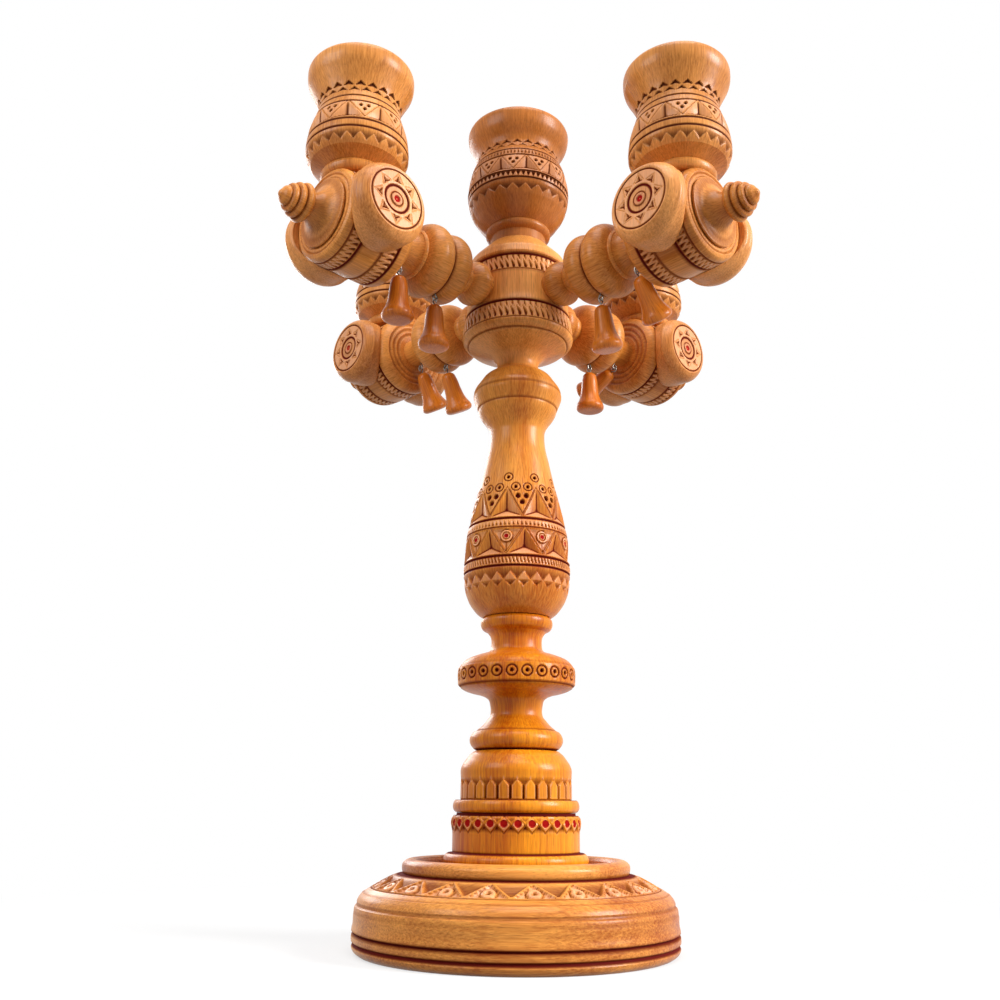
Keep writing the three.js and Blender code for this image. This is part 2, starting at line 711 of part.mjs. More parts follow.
function armSpindle() {
  const outline = Outline
    .onTenon(MUSHROOM_FOOT_RADIUS, ARM_TENON_RADIUS, ARM_TENON_LENGTH)
    .bead(MUSHROOM_RADIUS, ARM_BEAD_EDGE_RADIUS, MUSHROOM_LENGTH)
    .bead(ARM_BEAD_RADIUS, ARM_BEAD_EDGE_RADIUS, ARM_BEAD_LENGTH)
    .step(INNER_BALL_EDGE_RADIUS)
    .bead(INNER_BALL_RADIUS, BALL_GROOVE_RADIUS, INNER_BALL_LENGTH)
    .bead(OUTER_BALL_RADIUS, OUTER_BALL_EDGE_RADIUS, OUTER_BALL_LENGTH)
    .step(FLANGE_RADIUS)
    .rise(FLANGE_RADIUS, FLANGE_LENGTH)
    .spread(ARM_NECK_RADIUS, ARM_NECK_FLARE)
    .rise(ARM_NECK_RADIUS, ARM_NECK_LENGTH)
    .endInTenon(ARM_TENON_RADIUS, ARM_TENON_LENGTH);
  const spindle = alongX(outline.turn(SPINDLE_FACETS)).translate(SPINDLE_START, 0, 0);
  return cut(
    spindle,
    shankBore(BALL_GROOVE_RADIUS).translate(INNER_EYE_PLACE, 0, 0),
    shankBore(ARM_NECK_RADIUS).translate(OUTER_EYE_PLACE, 0, 0),
  );
}

// The small upright bore that an eye's shank goes up, under a surface of this radius.
function shankBore(surfaceRadius) {
  const outside = -surfaceRadius - 1;
  const end = EYE_SHANK_LENGTH + GAP - surfaceRadius;
  return rod(WIRE_RADIUS + GAP, outside, end, WIRE_BORE_FACETS);
}

function barrel() {
  const straight = BARREL_TAPER_START - BARREL_ROUND;
  const taper = BARREL_LENGTH - BARREL_TAPER_START - BARREL_END_BEVEL;
  const outline = Outline
    .overBore(BARREL_RADIUS - BARREL_ROUND, ARM_TENON_RADIUS, ARM_TENON_LENGTH)
    .spread(BARREL_RADIUS, BARREL_ROUND)
    .rise(BARREL_RADIUS, straight)
    .rise(BARREL_END_RADIUS, taper)
    .rise(BARREL_END_RADIUS - BARREL_END_BEVEL, BARREL_END_BEVEL)
    .endInBore(FINIAL_TENON_RADIUS, FINIAL_TENON_LENGTH);
  const body = alongX(outline.turn(BARREL_FACETS)).translate(BARREL_START, 0, 0);
  const above = BARREL_RADIUS + 1;
  const seat = rod(ARM_CUP.collarRadius + GAP, CUP_SEAT_HEIGHT, above, CUP_FACETS);
  const boreFloor = CUP_SEAT_HEIGHT - CUP_TENON_LENGTH;
  const bore = rod(CUP_TENON_RADIUS + GAP, boreFloor, above, CUP_FACETS);
  const sideBores = [1, -1].map((side) => {
    const floor = MEDALLION_TENON_REACH - GAP;
    const sideBore = rod(MEDALLION_TENON_RADIUS + GAP, floor, above, MEDALLION_FACETS);
    return towardsSide(sideBore, side).translate(CUP_PLACE, 0, 0);
  });
  return cut(
    body,
    seat.translate(CUP_PLACE, 0, 0),
    bore.translate(CUP_PLACE, 0, 0),
    ...sideBores,
  );
}

// Lays a shape's Z axis to the arm's left (side 1) or right (side -1).
function towardsSide(geometry, side) {
  return geometry.rotateX(-side * Math.PI / 2);
}

// A medallion: a round cap whose back is hollowed to fit the barrel, on a tenon.
function medallion(side) {
  const body = Outline.onFoot(MEDALLION_BACK_RADIUS)
    .spread(MEDALLION_RADIUS, MEDALLION_BACK_ROUND)
    .rise(MEDALLION_RADIUS, MEDALLION_EDGE)
    .close(MEDALLION_FACE_RADIUS, MEDALLION_FACE_RISE)
    .endFlat()
    .turn(MEDALLION_FACETS)
    .translate(0, 0, MEDALLION_BACK);
  const reach = MEDALLION_RADIUS + 1;
  const barrelRoom = alongX(rod(BARREL_RADIUS + GAP, -reach, reach, BARREL_FACETS));
  const tenonTop = BARREL_RADIUS + MEDALLION_BACK_ROUND;
  const tenon = rod(
    MEDALLION_TENON_RADIUS, MEDALLION_TENON_REACH, tenonTop, MEDALLION_FACETS,
  );
  const cap = toSolid(towardsSide(body, side)).subtract(toSolid(barrelRoom));
  return toGeometry(cap.add(toSolid(towardsSide(tenon, side))));
}

function finial() {
  const outline = Outline
    .onTenon(FINIAL_FOOT_RADIUS, FINIAL_TENON_RADIUS, FINIAL_TENON_LENGTH)
    .rise(FINIAL_FOOT_RADIUS, FINIAL_FOOT_EDGE)
    .spread(FINIAL_STEM_RADIUS, FINIAL_FLARE_LENGTH, LONG_CURVE_STEPS)
    .rise(FINIAL_STEM_RADIUS, FINIAL_STEM_LENGTH);
  for (const { radius, length } of FINIAL_RINGS) {
    outline
      .step(radius - FINIAL_RING_NOTCH / 2)
      .rise(radius, length / 2)
      .rise(radius - FINIAL_RING_NOTCH, length / 2);
  }
  outline.step(FINIAL_TIP_RADIUS).close(0, FINIAL_TIP_LENGTH);
  return outline.turn(FINIAL_FACETS);
}

// A wire eye: a shank that comes down Z and bends round into a loop about Y.
// The loop's middle is the origin, and the neck is what shows above the loop.
function wireEye(neck) {
  const loopStart = THREE.MathUtils.degToRad(120);
  const loopTurn = THREE.MathUtils.degToRad(300);
  const loopPoints = 8;
  const route = [
    new THREE.Vector3(0, 0, EYE_REACH + neck + EYE_SHANK_LENGTH),
    new THREE.Vector3(0, 0, EYE_REACH + 2 * WIRE_RADIUS),
  ];
  for (let i = 0; i <= loopPoints; i += 1) {
    const turn = loopStart + (loopTurn * i) / loopPoints;
    const across = EYE_LOOP_RADIUS * Math.cos(turn);
    const up = EYE_LOOP_RADIUS * Math.sin(turn);
    route.push(new THREE.Vector3(across, 0, up));
  }
  const section = new THREE.Shape();
  for (let i = 0; i < WIRE_FACETS; i += 1) {
    const turn = ((i + 0.5) / WIRE_FACETS) * 2 * Math.PI;
    const corner = [WIRE_RADIUS * Math.cos(turn), WIRE_RADIUS * Math.sin(turn)];
    if (i === 0) {
      section.moveTo(...corner);
    } else {
      section.lineTo(...corner);
    }
  }
  return new THREE.ExtrudeGeometry(section, {
    steps: WIRE_STEPS,
    bevelEnabled: false,
    extrudePath: new THREE.CatmullRomCurve3(route),
  });
}

// How far the linked loops and the bell lie from the line the bell swings about,
// which runs through the bottom of the fixed loop.
const LINK_RISE = 2 * WIRE_RADIUS + GAP;
const BELL_LOOP_DROP = EYE_LOOP_RADIUS - LINK_RISE;
const BELL_DROP = BELL_LOOP_DROP + EYE_REACH + BELL_EYE_NECK;

// A bell that hangs down Z from the line it swings about.
function bell() {
  const outline = Outline.onFoot(BELL_UNDER_RADIUS)
    .spread(BELL_RADIUS, BELL_LIP_RISE)
    .ogee(BELL_MIDDLE_RADIUS, BELL_FLARE_RISE)
    .rise(BELL_SHOULDER_RADIUS, BELL_MIDDLE_RISE)
    .rise(BELL_CAP_RADIUS, BELL_SHOULDER_RISE)
    .rise(BELL_TOP_RADIUS, BELL_CAP_RISE)
    .endInBore(WIRE_RADIUS, EYE_SHANK_LENGTH + GAP);
  return outline.turn(BELL_FACETS).translate(0, 0, -BELL_DROP - outline.seat);
}

function bellEye() {
  return wireEye(BELL_EYE_NECK)
    .rotateX(Math.PI)
    .rotateZ(Math.PI / 2)
    .translate(0, 0, -BELL_LOOP_DROP);
}

function mesh(name, geometry, finish) {
  const made = new THREE.Mesh(geometry, new THREE.MeshStandardMaterial(finish));
  made.name = name;
  return made;
}

// A fixed eye under the arm, and the bell and its own eye linked through it.
function pendant(name, place, surfaceRadius, lean) {
  const swingDepth = surfaceRadius + ARM_EYE_NECK + EYE_REACH + EYE_LOOP_RADIUS;
  const fixedEye = mesh(`${name}_eye`, wireEye(ARM_EYE_NECK), WIRE_METAL);
  fixedEye.position.set(place, 0, EYE_LOOP_RADIUS - swingDepth);

  const hanging = new THREE.Group();
  hanging.position.set(place, 0, -swingDepth);
  hanging.rotation.x = THREE.MathUtils.degToRad(lean);
  hanging.add(
    mesh(`${name}_bell_eye`, bellEye(), WIRE_METAL),
    mesh(`${name}_bell`, bell(), BELL_WOOD),
  );
  return [fixedEye, hanging];
}

function arm({ place, angle, cupTurn, innerLean, outerLean }) {
  const group = new THREE.Group();
  group.rotation.z = THREE.MathUtils.degToRad(angle);
  group.add(mesh(`${place}_arm`, armSpindle(), WOOD));
  group.add(mesh(`${place}_barrel`, barrel(), WOOD));

  for (const [hand, side] of [["left", 1], ["right", -1]]) {
    const cap = mesh(`${place}_medallion_${hand}`, medallion(side), WOOD);
    cap.position.x = CUP_PLACE;
    group.add(cap);
  }

  const point = mesh(`${place}_finial`, alongX(finial()), WOOD);
  point.position.x = FINIAL_PLACE;
  const cupOutline = candleCup(ARM_CUP, CUP_TENON_RADIUS, CUP_TENON_LENGTH)
    .faceted(CUP_FACETS);
  const chips = chipRow(
    cupOutline, bellyHeight(ARM_CUP), { ...ARM_CUP_CHIPS, turn: cupTurn },
  );
  const cup = mesh(`${place}_cup`, cut(cupOutline.turn(), ...chips), WOOD);
  cup.position.set(CUP_PLACE, 0, CUP_SEAT_HEIGHT + GAP);
  group.add(point, cup);

  group.add(...pendant(`${place}_inner`, INNER_EYE_PLACE, BALL_GROOVE_RADIUS, innerLean));
  group.add(...pendant(`${place}_outer`, OUTER_EYE_PLACE, ARM_NECK_RADIUS, outerLean));
  return group;
}

const candelabra = new THREE.Group();

// The column is stacked from the floor up: each piece stands on the last one's seat.
let standing = 0;
const base = baseDisc();
const vase = baluster();
for (const [name, outline, shape] of [
  ["base_disc", base, carvedBase(base)],
  ["foot_drum", footDrum()],
  ["picket_drum", picketDrum()],
  ["disc_stem", discStem()],
  ["baluster", vase, cut(vase.turn(), ...vaseChips(vase))],
]) {
  const piece = mesh(name, shape ?? outline.turn(COLUMN_FACETS), WOOD);
  piece.position.z = standing;
  candelabra.add(piece);
  standing += outline.seat + GAP;
}

const hubOutline = hub();
const hubPiece = mesh("hub", cut(hubOutline.turn(COLUMN_FACETS), ...armBores()), WOOD);
hubPiece.position.z = standing;
const centreCupBelly = bellyHeight(CENTRE_CUP);
const centreCupOutline = candleCup(CENTRE_CUP, COLUMN_TENON_RADIUS, COLUMN_TENON_LENGTH)
  .groove(CENTRE_CUP_GROOVE_HEIGHTS, centreCupBelly)
  .faceted(CENTRE_CUP_FACETS, CENTRE_CUP_CHIPS.turn);
const centreCupCuts = [CENTRE_CUP_CHIPS, CENTRE_CUP_TEETH].flatMap((row) => {
  return chipRow(centreCupOutline, centreCupBelly, row);
});
const centreCup = mesh("centre_cup", cut(centreCupOutline.turn(), ...centreCupCuts), WOOD);
centreCup.position.z = standing + hubOutline.seat + GAP;
candelabra.add(hubPiece, centreCup);

for (const place of ARMS) {
  const group = arm(place);
  group.position.z = standing + ARM_HEIGHT_ON_HUB;
  candelabra.add(group);
}

export default candelabra;
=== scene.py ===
import math

import bpy
import numpy as np
from mathutils import Matrix, Vector


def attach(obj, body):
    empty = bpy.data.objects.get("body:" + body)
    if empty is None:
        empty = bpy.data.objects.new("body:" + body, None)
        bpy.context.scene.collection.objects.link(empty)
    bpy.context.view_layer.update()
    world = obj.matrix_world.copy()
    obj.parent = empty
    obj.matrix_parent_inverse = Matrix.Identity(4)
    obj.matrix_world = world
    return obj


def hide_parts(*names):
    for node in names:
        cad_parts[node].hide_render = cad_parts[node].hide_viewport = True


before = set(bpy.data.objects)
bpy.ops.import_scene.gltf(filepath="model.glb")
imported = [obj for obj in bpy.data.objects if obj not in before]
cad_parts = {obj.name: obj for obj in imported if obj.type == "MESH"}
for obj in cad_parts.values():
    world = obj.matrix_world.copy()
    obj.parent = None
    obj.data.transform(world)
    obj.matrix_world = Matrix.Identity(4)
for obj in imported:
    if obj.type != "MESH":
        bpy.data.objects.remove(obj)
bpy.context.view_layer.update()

# The candelabra is seen from low in front, looking up, on a pale floor.
# The light is a broad window to the right, a soft ceiling, a weak fill, and a lamp behind.
scene = bpy.context.scene
scene.view_settings.view_transform = "Standard"

CAMERA_PLACE = (0, -0.477, 0.0614)
TURNED_LEFT, TILTED_UP, ROLLED = (math.radians(degrees) for degrees in (1.01, 106.72, 0.48))

lens = bpy.data.cameras.new("camera")
lens.sensor_width = 36
lens.lens = 36.4
camera = bpy.data.objects.new("camera", lens)
camera.matrix_world = (
    Matrix.Translation(CAMERA_PLACE)
    @ Matrix.Rotation(TURNED_LEFT, 4, "Z")
    @ Matrix.Rotation(TILTED_UP, 4, "X")
    @ Matrix.Rotation(ROLLED, 4, "Z")
)
scene.collection.objects.link(camera)
scene.camera = camera


def softbox(name, place, towards, width, height, watts):
    """An area lamp at place that faces towards, both in metres."""
    lamp = bpy.data.lights.new(name, "AREA")
    lamp.shape = "RECTANGLE"
    lamp.size = width
    lamp.size_y = height
    lamp.energy = watts
    stand = bpy.data.objects.new(name, lamp)
    facing = (Vector(towards) - Vector(place)).to_track_quat("-Z", "Y")
    stand.matrix_world = Matrix.Translation(place) @ facing.to_matrix().to_4x4()
    scene.collection.objects.link(stand)


softbox("window", place=(1.4, -0.5, 0.8), towards=(0, 0, 0.25), width=0.6, height=0.8, watts=38)
softbox("ceiling", place=(0.1, -0.5, 1.6), towards=(0, 0, 0.2), width=1.0, height=1.0, watts=15)
softbox(
    "fill", place=(-0.4, -0.34, 0.48), towards=(-0.07, -0.07, 0.33),
    width=0.3, height=0.3, watts=1.7)
softbox("behind", place=(-0.9, 1.3, 0.8), towards=(0, 0, 0.22), width=0.9, height=0.7, watts=12)

# The white room is seen at its full strength and lights the object weakly. Near the object the
# floor is a matt grey that takes its shadow, with a glow that lifts it for the camera, and
# further away it fades into the white of the room.
WHITE = (1, 1, 1, 1)
ROOM_LIGHT = 0.2
FLOOR_GREY = (0.3, 0.3, 0.3, 1)
FLOOR_GLOW = 0.65
SHADOW_REACH = 0.12
WHITE_BEYOND = 0.4
FLOOR_REACH = 6


def node(tree, kind, settings, inputs):
    """A new shader node. Its settings are set by name, and each of its inputs, given by
    name or number, takes a plain value or is linked from another node's output."""
    made = tree.nodes.new("ShaderNode" + kind)
    for name, value in settings.items():
        setattr(made, name, value)
    for name, value in inputs.items():
        if isinstance(value, bpy.types.NodeSocket):
            tree.links.new(value, made.inputs[name])
        else:
            made.inputs[name].default_value = value
    return made


def arithmetic(tree, operation, *terms):
    """The output of a Math node over one, two or three terms."""
    return node(tree, "Math", {"operation": operation}, dict(enumerate(terms))).outputs[0]


def seen_directly(tree):
    """1 for a ray from the camera, a mirror or glass, and 0 for light that falls on things."""
    rays = node(tree, "LightPath", {}, {}).outputs
    mirrored = arithmetic(tree, "ADD", rays["Is Glossy Ray"], rays["Is Transmission Ray"])
    both = arithmetic(tree, "ADD", rays["Is Camera Ray"], mirrored)
    return arithmetic(tree, "MINIMUM", both, 1.0)


world = bpy.data.worlds.new("studio")
scene.world = world
world.use_nodes = True
tree = world.node_tree
tree.nodes.clear()
room = node(tree, "Background", {}, {"Color": WHITE, "Strength": ROOM_LIGHT})
backdrop = node(tree, "Background", {}, {"Color": WHITE, "Strength": 1.0})
shown = node(
    tree, "MixShader", {},
    {0: seen_directly(tree), 1: room.outputs[0], 2: backdrop.outputs[0]})
node(tree, "OutputWorld", {}, {"Surface": shown.outputs[0]})

floor_paint = bpy.data.materials.new("floor_paint")
floor_paint.use_nodes = True
tree = floor_paint.node_tree
tree.nodes.clear()
matt = node(tree, "BsdfDiffuse", {}, {"Color": FLOOR_GREY})
glow = arithmetic(tree, "MULTIPLY", seen_directly(tree), FLOOR_GLOW)
lift = node(tree, "Emission", {}, {"Color": WHITE, "Strength": glow})
lit = node(tree, "AddShader", {}, {0: matt.outputs[0], 1: lift.outputs[0]})
distance = node(
    tree, "VectorMath", {"operation": "LENGTH"},
    {0: node(tree, "TexCoord", {}, {}).outputs["Object"]})
beyond = node(
    tree, "MapRange", {"interpolation_type": "SMOOTHSTEP"},
    {"Value": distance.outputs["Value"], "From Min": SHADOW_REACH, "From Max": WHITE_BEYOND})
white = node(tree, "Emission", {}, {"Color": WHITE, "Strength": 1.0})
away = node(tree, "MixShader", {}, {
    0: arithmetic(tree, "MULTIPLY", beyond.outputs[0], seen_directly(tree)),
    1: lit.outputs[0], 2: white.outputs[0]})
node(tree, "OutputMaterial", {}, {"Surface": away.outputs[0]})

floor_mesh = bpy.data.meshes.new("floor")
floor_corners = [(x * FLOOR_REACH, y * FLOOR_REACH, 0) for x, y in (
    (-1, -1), (1, -1), (1, 1), (-1, 1))]
floor_mesh.from_pydata(floor_corners, [], [(0, 1, 2, 3)])
floor_mesh.materials.append(floor_paint)
floor = bpy.data.objects.new("floor", floor_mesh)
scene.collection.objects.link(floor)

# The base is a beech disc turned from a plank, with the grain across it. Two stained grooves
# ring its foot, and a zigzag with ring eyes is chip carved on the slope round its recess. It is
# varnished, and painted shade darkens its cuts as they deepen.


def smooth(points, step):
    """Points about step apart on a smooth curve through the given ones: each span is the cubic
    that leaves and arrives along the line between a point's neighbours."""
    points = np.array(points, float)
    reach = np.r_[0, np.cumsum(np.linalg.norm(np.diff(points, axis=0), axis=1))]
    slope = np.gradient(points, reach, axis=0)
    at = np.linspace(0, reach[-1], max(2, round(reach[-1] / step) + 1))
    span = np.clip(np.searchsorted(reach, at, side="right") - 1, 0, len(reach) - 2)
    length = (reach[span + 1] - reach[span])[:, None]
    part = (at - reach[span])[:, None] / length
    return (
        (1 + 2 * part) * (1 - part) ** 2 * points[span]
        + part * (1 - part) ** 2 * length * slope[span]
        + part ** 2 * (3 - 2 * part) * points[span + 1]
        + part ** 2 * (part - 1) * length * slope[span + 1]
    )


def closed_skin(name, grid, low, high, attributes):
    """A closed mesh over a grid of points in metres: quads join each row to the next and wrap
    round, and a fan of triangles closes each end on its middle point, low or high."""
    rows, columns = grid.shape[:2]
    here = np.arange(rows * columns).reshape(rows, columns)
    beside = np.roll(here, -1, axis=1)
    quads = np.stack([here[:-1], beside[:-1], beside[1:], here[1:]], axis=-1).reshape(-1, 4)
    ends = np.full(columns, rows * columns)
    low_fan = np.stack([beside[0], here[0], ends], axis=-1)
    high_fan = np.stack([here[-1], beside[-1], ends + 1], axis=-1)
    corners = np.concatenate([quads.ravel(), low_fan.ravel(), high_fan.ravel()])
    sides = np.r_[np.full(len(quads), 4), np.full(2 * columns, 3)]
    mesh = bpy.data.meshes.new(name)
    mesh.vertices.add(rows * columns + 2)
    mesh.vertices.foreach_set("co", np.vstack([grid.reshape(-1, 3), low, high]).ravel())
    mesh.loops.add(len(corners))
    mesh.loops.foreach_set("vertex_index", corners)
    mesh.polygons.add(len(sides))
    mesh.polygons.foreach_set("loop_start", np.r_[0, np.cumsum(sides)[:-1]])
    for label, values in attributes.items():
        layer = mesh.attributes.new(label, "FLOAT_VECTOR", "POINT")
        layer.data.foreach_set("vector", np.ravel(values))
    mesh.update(calc_edges=True)
    mesh.validate()
    mesh.shade_smooth()
    mesh.set_sharp_from_angle(angle=math.radians(20))
    piece = bpy.data.objects.new(name, mesh)
    scene.collection.objects.link(piece)
    return piece


class Turning:
    """A piece on the lathe, in millimetres. Its outline, as stretches of (step, point, point and
    so on), each point a height and a radius, runs from the middle of the foot up the outside to
    the middle of the top. A point at turn t and radius r lies at (r sin t, -r cos t)."""

    # Points nearer than SAME_POINT are one. The painted shade in a chip's folds fades over
    # FOLD_WIDTH, and the fine line beside a chip lies LINE_AWAY outside it. CURVE_SHARE is how far
    # the fibres follow the outline's curve, and FIGURE_SHIFT how many metres the wood's figure
    # moves on for each millimetre of a piece's origin.
    SAME_POINT = 1e-3
    FOLD_WIDTH = 0.45
    LINE_AWAY = 0.55
    LINE_REACH = 0.35
    LINE_DEPTH = 0.4
    CURVE_SHARE = 0.6
    FIGURE_SHIFT = 0.0037

    def __init__(self, columns, *stretches):
        outline = np.vstack([smooth(points, step) for step, *points in stretches])
        apart = np.linalg.norm(np.diff(outline, axis=0), axis=1) > self.SAME_POINT
        outline = outline[np.r_[True, apart]]
        self.height = outline[:, :1]
        self.radius = outline[:, 1:]
        self.turn = np.arange(columns) * 360 / columns
        self.outside = np.arange(len(outline))[:, None] <= outline[:, 0].argmax()
        self.depth = np.zeros((len(outline), columns))
        self.stain_and_shade = np.zeros_like(self.depth)
        self.paint = np.zeros_like(self.depth)
        self.fresh_cut_and_highlight = np.zeros_like(self.depth)

    def carve(self, depth, stain_and_shade=0.0, paint=0.0, fresh_cut_and_highlight=0.0):
        """Takes depth off the outside, where it is more than was taken before. A share of it is
        stained dark, as a groove's staining and as painted shade in a cut, or painted red, and a
        share is left pale, as freshly cut wood and as a painted highlight."""
        self.depth = np.maximum(self.depth, depth * self.outside)
        self.stain_and_shade = np.maximum(self.stain_and_shade, stain_and_shade * self.outside)
        self.paint = np.maximum(self.paint, paint * self.outside)
        self.fresh_cut_and_highlight = np.maximum(self.fresh_cut_and_highlight, fresh_cut_and_highlight * self.outside)

    def line(self, at, width, depth, stain_and_shade=1.0):
        """A V groove round the piece at a height, stained as wide as it is cut."""
        off = np.abs(self.height - at) / (width / 2)
        self.carve(depth * np.clip(1 - off, 0, 1), stain_and_shade * np.clip(1.6 - off, 0, 1))

    def chip(self, across, along, corners, deepest, depth, beside=0.7):
        """A chip with a flat facet from each side of its outline down to the deepest point.
        Painted shade darkens the deepest point and the creases where two facets meet, and the
        lowest facet is painted pale, as freshly cut wood and as a painted highlight. A fine
        line runs beside the two upper sides, stained as given."""
        inward = sides(across, along, corners)
        full = sides(*deepest, corners)[:, None, None]
        share = np.sort(inward / full, axis=0)
        apart = (share[1] - share[0]) * full.mean()
        folds = np.clip(1.8 - apart / self.FOLD_WIDTH, 0, 1) * np.clip(share[0] * 4, 0, 1)
        bottom = portion(share[0] - 0.75, 0.15)
        lowest = (inward[0] / full[0] <= share[0]) & (share[0] > 0)
        # Painted shade in the folds and at the bottom; the lowest facet is painted pale.
        self.carve(
            depth * np.clip(share[0], 0, 1), stain_and_shade=np.maximum(folds, bottom), fresh_cut_and_highlight=0.4 * lowest)
        line = near(inward.min(axis=0) + self.LINE_AWAY, self.LINE_REACH) * (inward[0] > 0)
        self.carve(self.LINE_DEPTH * line * (beside > 0), stain_and_shade=beside * line)

    def places(self, count, first, radius):
        """Distance across, in millimetres at a radius, from the nearest of count even places."""
        pitch = 360 / count
        turn = (self.turn - first + pitch / 2) % pitch - pitch / 2
        return np.radians(turn) * radius

    def piece(self, name, axes=np.eye(3), origin=(0, 0, 0), fibre=(0, 1, 2), warp=None):
        """The turning as an object. Each point is sunk by the carved depth along the outline's
        normal, then warped, turned by axes and moved to origin. The attribute fibre is the
        point before that, with its three numbers in the order in which fibres run last. Where
        they run along the axis they are drawn some way towards the outline's curve."""
        along = np.gradient(np.hstack([self.height, self.radius]), axis=0)
        along /= np.linalg.norm(along, axis=1)[:, None]
        height = self.height + self.depth * along[:, 1:]
        radius = self.radius - self.depth * along[:, :1]
        turn = np.radians(self.turn)
        own = np.stack([
            radius * np.sin(turn), -radius * np.cos(turn), height + 0 * turn
        ], axis=-1)
        if warp is not None:
            own = warp(own)
        own = np.vstack([own[1:-1].reshape(-1, 3), own[0].mean(axis=0), own[-1].mean(axis=0)])
        grain = own.copy()
        if fibre == (0, 1, 2):
            reach = np.hypot(own[:, 0], own[:, 1])[:, None]
            drawn_out = (1 - self.CURVE_SHARE) * reach + self.CURVE_SHARE * self.radius.max()
            grain[:, :2] *= drawn_out / np.maximum(reach, 1)
        world_points = (own @ np.array(axes, float).T + origin) / 1000
        grid = world_points[:-2].reshape(-1, len(self.turn), 3)
        colour = self.stain_and_shade - self.fresh_cut_and_highlight * np.clip(1 - 2 * self.stain_and_shade, 0, 1)
        carving = np.stack([self.depth, colour, self.paint], axis=-1)
        carving = np.vstack([carving[1:-1].reshape(-1, 3), np.zeros((2, 3))])
        return closed_skin(name, grid, world_points[-2], world_points[-1], {
            "fibre": grain[:, fibre] / 1000 + np.array(origin)[None] * self.FIGURE_SHIFT,
            "carving": carving,
        })


def near(distance, reach):
    """1 on a line, falling evenly to 0 at reach to either side of it."""
    return np.clip(1 - np.abs(distance) / reach, 0, 1)


def portion(value, full):
    """How much of full a value is, from 0 to 1."""
    return np.clip(value / full, 0, 1)


def sides(across, along, corners):
    """Distance in millimetres inward of each side of a shape whose corners go anticlockwise."""
    return np.stack([
        ((x1 - x0) * (along - y0) - (y1 - y0) * (across - x0)) / math.hypot(x1 - x0, y1 - y0)
        for (x0, y0), (x1, y1) in zip(corners, corners[1:] + corners[:1])
    ])


def notch(across, along, corners, slopes, depth):
    """A cut whose sides fall at slopes, each the side from that corner to the next, no deeper
    than depth. A steep side is a wall, and a slight one a floor that slopes."""
    inward = sides(across, along, corners)
    return np.clip((inward * np.array(slopes)[:, None, None]).min(axis=0), 0, depth)


def group(name, inputs, outputs, build):
    """A shader group with named input and output sockets, filled by build(tree, in, out)."""
    made = bpy.data.node_groups.new(name, "ShaderNodeTree")
    for label, kind in inputs.items():
        made.interface.new_socket(label, in_out="INPUT", socket_type="NodeSocket" + kind)
    for label, kind in outputs.items():
        made.interface.new_socket(label, in_out="OUTPUT", socket_type="NodeSocket" + kind)
    enter = made.nodes.new("NodeGroupInput")
    leave = made.nodes.new("NodeGroupOutput")
    for label, socket in build(made, enter.outputs).items():
        made.links.new(socket, leave.inputs[label])
    return made


def stretched_noise(tree, fibre, across, along, detail):
    """Noise with so many spots to the metre across the fibres and along them."""
    drawn = node(
        tree, "VectorMath", {"operation": "MULTIPLY"}, {0: fibre, 1: (across, across, along)}
    )
    spots = node(
        tree, "TexNoise", {},
        {"Vector": drawn.outputs[0], "Scale": 1.0, "Detail": detail, "Roughness": 0.6},
    )
    return spots.outputs[0]


def limits(tree, value, low, high):
    """The value spread so that low becomes 0 and high becomes 1."""
    spread = node(
        tree, "MapRange", {"clamp": True},
        {"Value": value, "From Min": low, "From Max": high},
    )
    return spread.outputs[0]


# What streaks, clouds and patches each add to the wood's tone, and where the tone is wholly deep
# and wholly pale.
STREAK_SHARE = 0.35
CLOUD_SHARE = 0.36
PATCH_SHARE = 0.29
DEEP_BELOW = 0.39
PALE_ABOVE = 0.61


def draw_beech(tree, enter):
    """Beech: fine streaks, short dark ray flecks, and clouds and wide patches of tone that
    are drawn out along the fibres."""
    fibre = enter["Fibre"]
    streak = stretched_noise(tree, fibre, across=1300, along=40, detail=3.0)
    fleck = stretched_noise(tree, fibre, across=2300, along=150, detail=1.0)
    fleck = limits(tree, fleck, 0.55, 0.72)
    cloud = stretched_noise(tree, fibre, across=48, along=10, detail=2.0)
    patch = stretched_noise(tree, fibre, across=17, along=8, detail=1.0)
    tone = arithmetic(tree, "MULTIPLY", streak, STREAK_SHARE)
    tone = arithmetic(tree, "MULTIPLY_ADD", cloud, CLOUD_SHARE, tone)
    tone = arithmetic(tree, "MULTIPLY_ADD", patch, PATCH_SHARE, tone)
    tone = limits(tree, tone, DEEP_BELOW, PALE_ABOVE)
    height = arithmetic(tree, "SUBTRACT", streak, arithmetic(tree, "MULTIPLY", fleck, 0.5))
    return {"Tone": tone, "Fleck": fleck, "Height": height}


beech = group(
    "beech", {"Fibre": "Vector"}, {"Tone": "Float", "Fleck": "Float", "Height": "Float"},
    draw_beech,
)


def mixed(tree, share, first, second):
    """A colour between two, the second one by share."""
    mix = node(
        tree, "Mix", {"data_type": "RGBA"}, {"Factor": share, 6: first, 7: second}
    )
    return mix.outputs[2]


def srgb(red, green, blue):
    """A colour as it is picked from a picture, turned into light values."""
    part = np.array([red, green, blue]) / 255
    light = np.where(part <= 0.04045, part / 12.92, ((part + 0.055) / 1.055) ** 2.4)
    return (*light, 1.0)


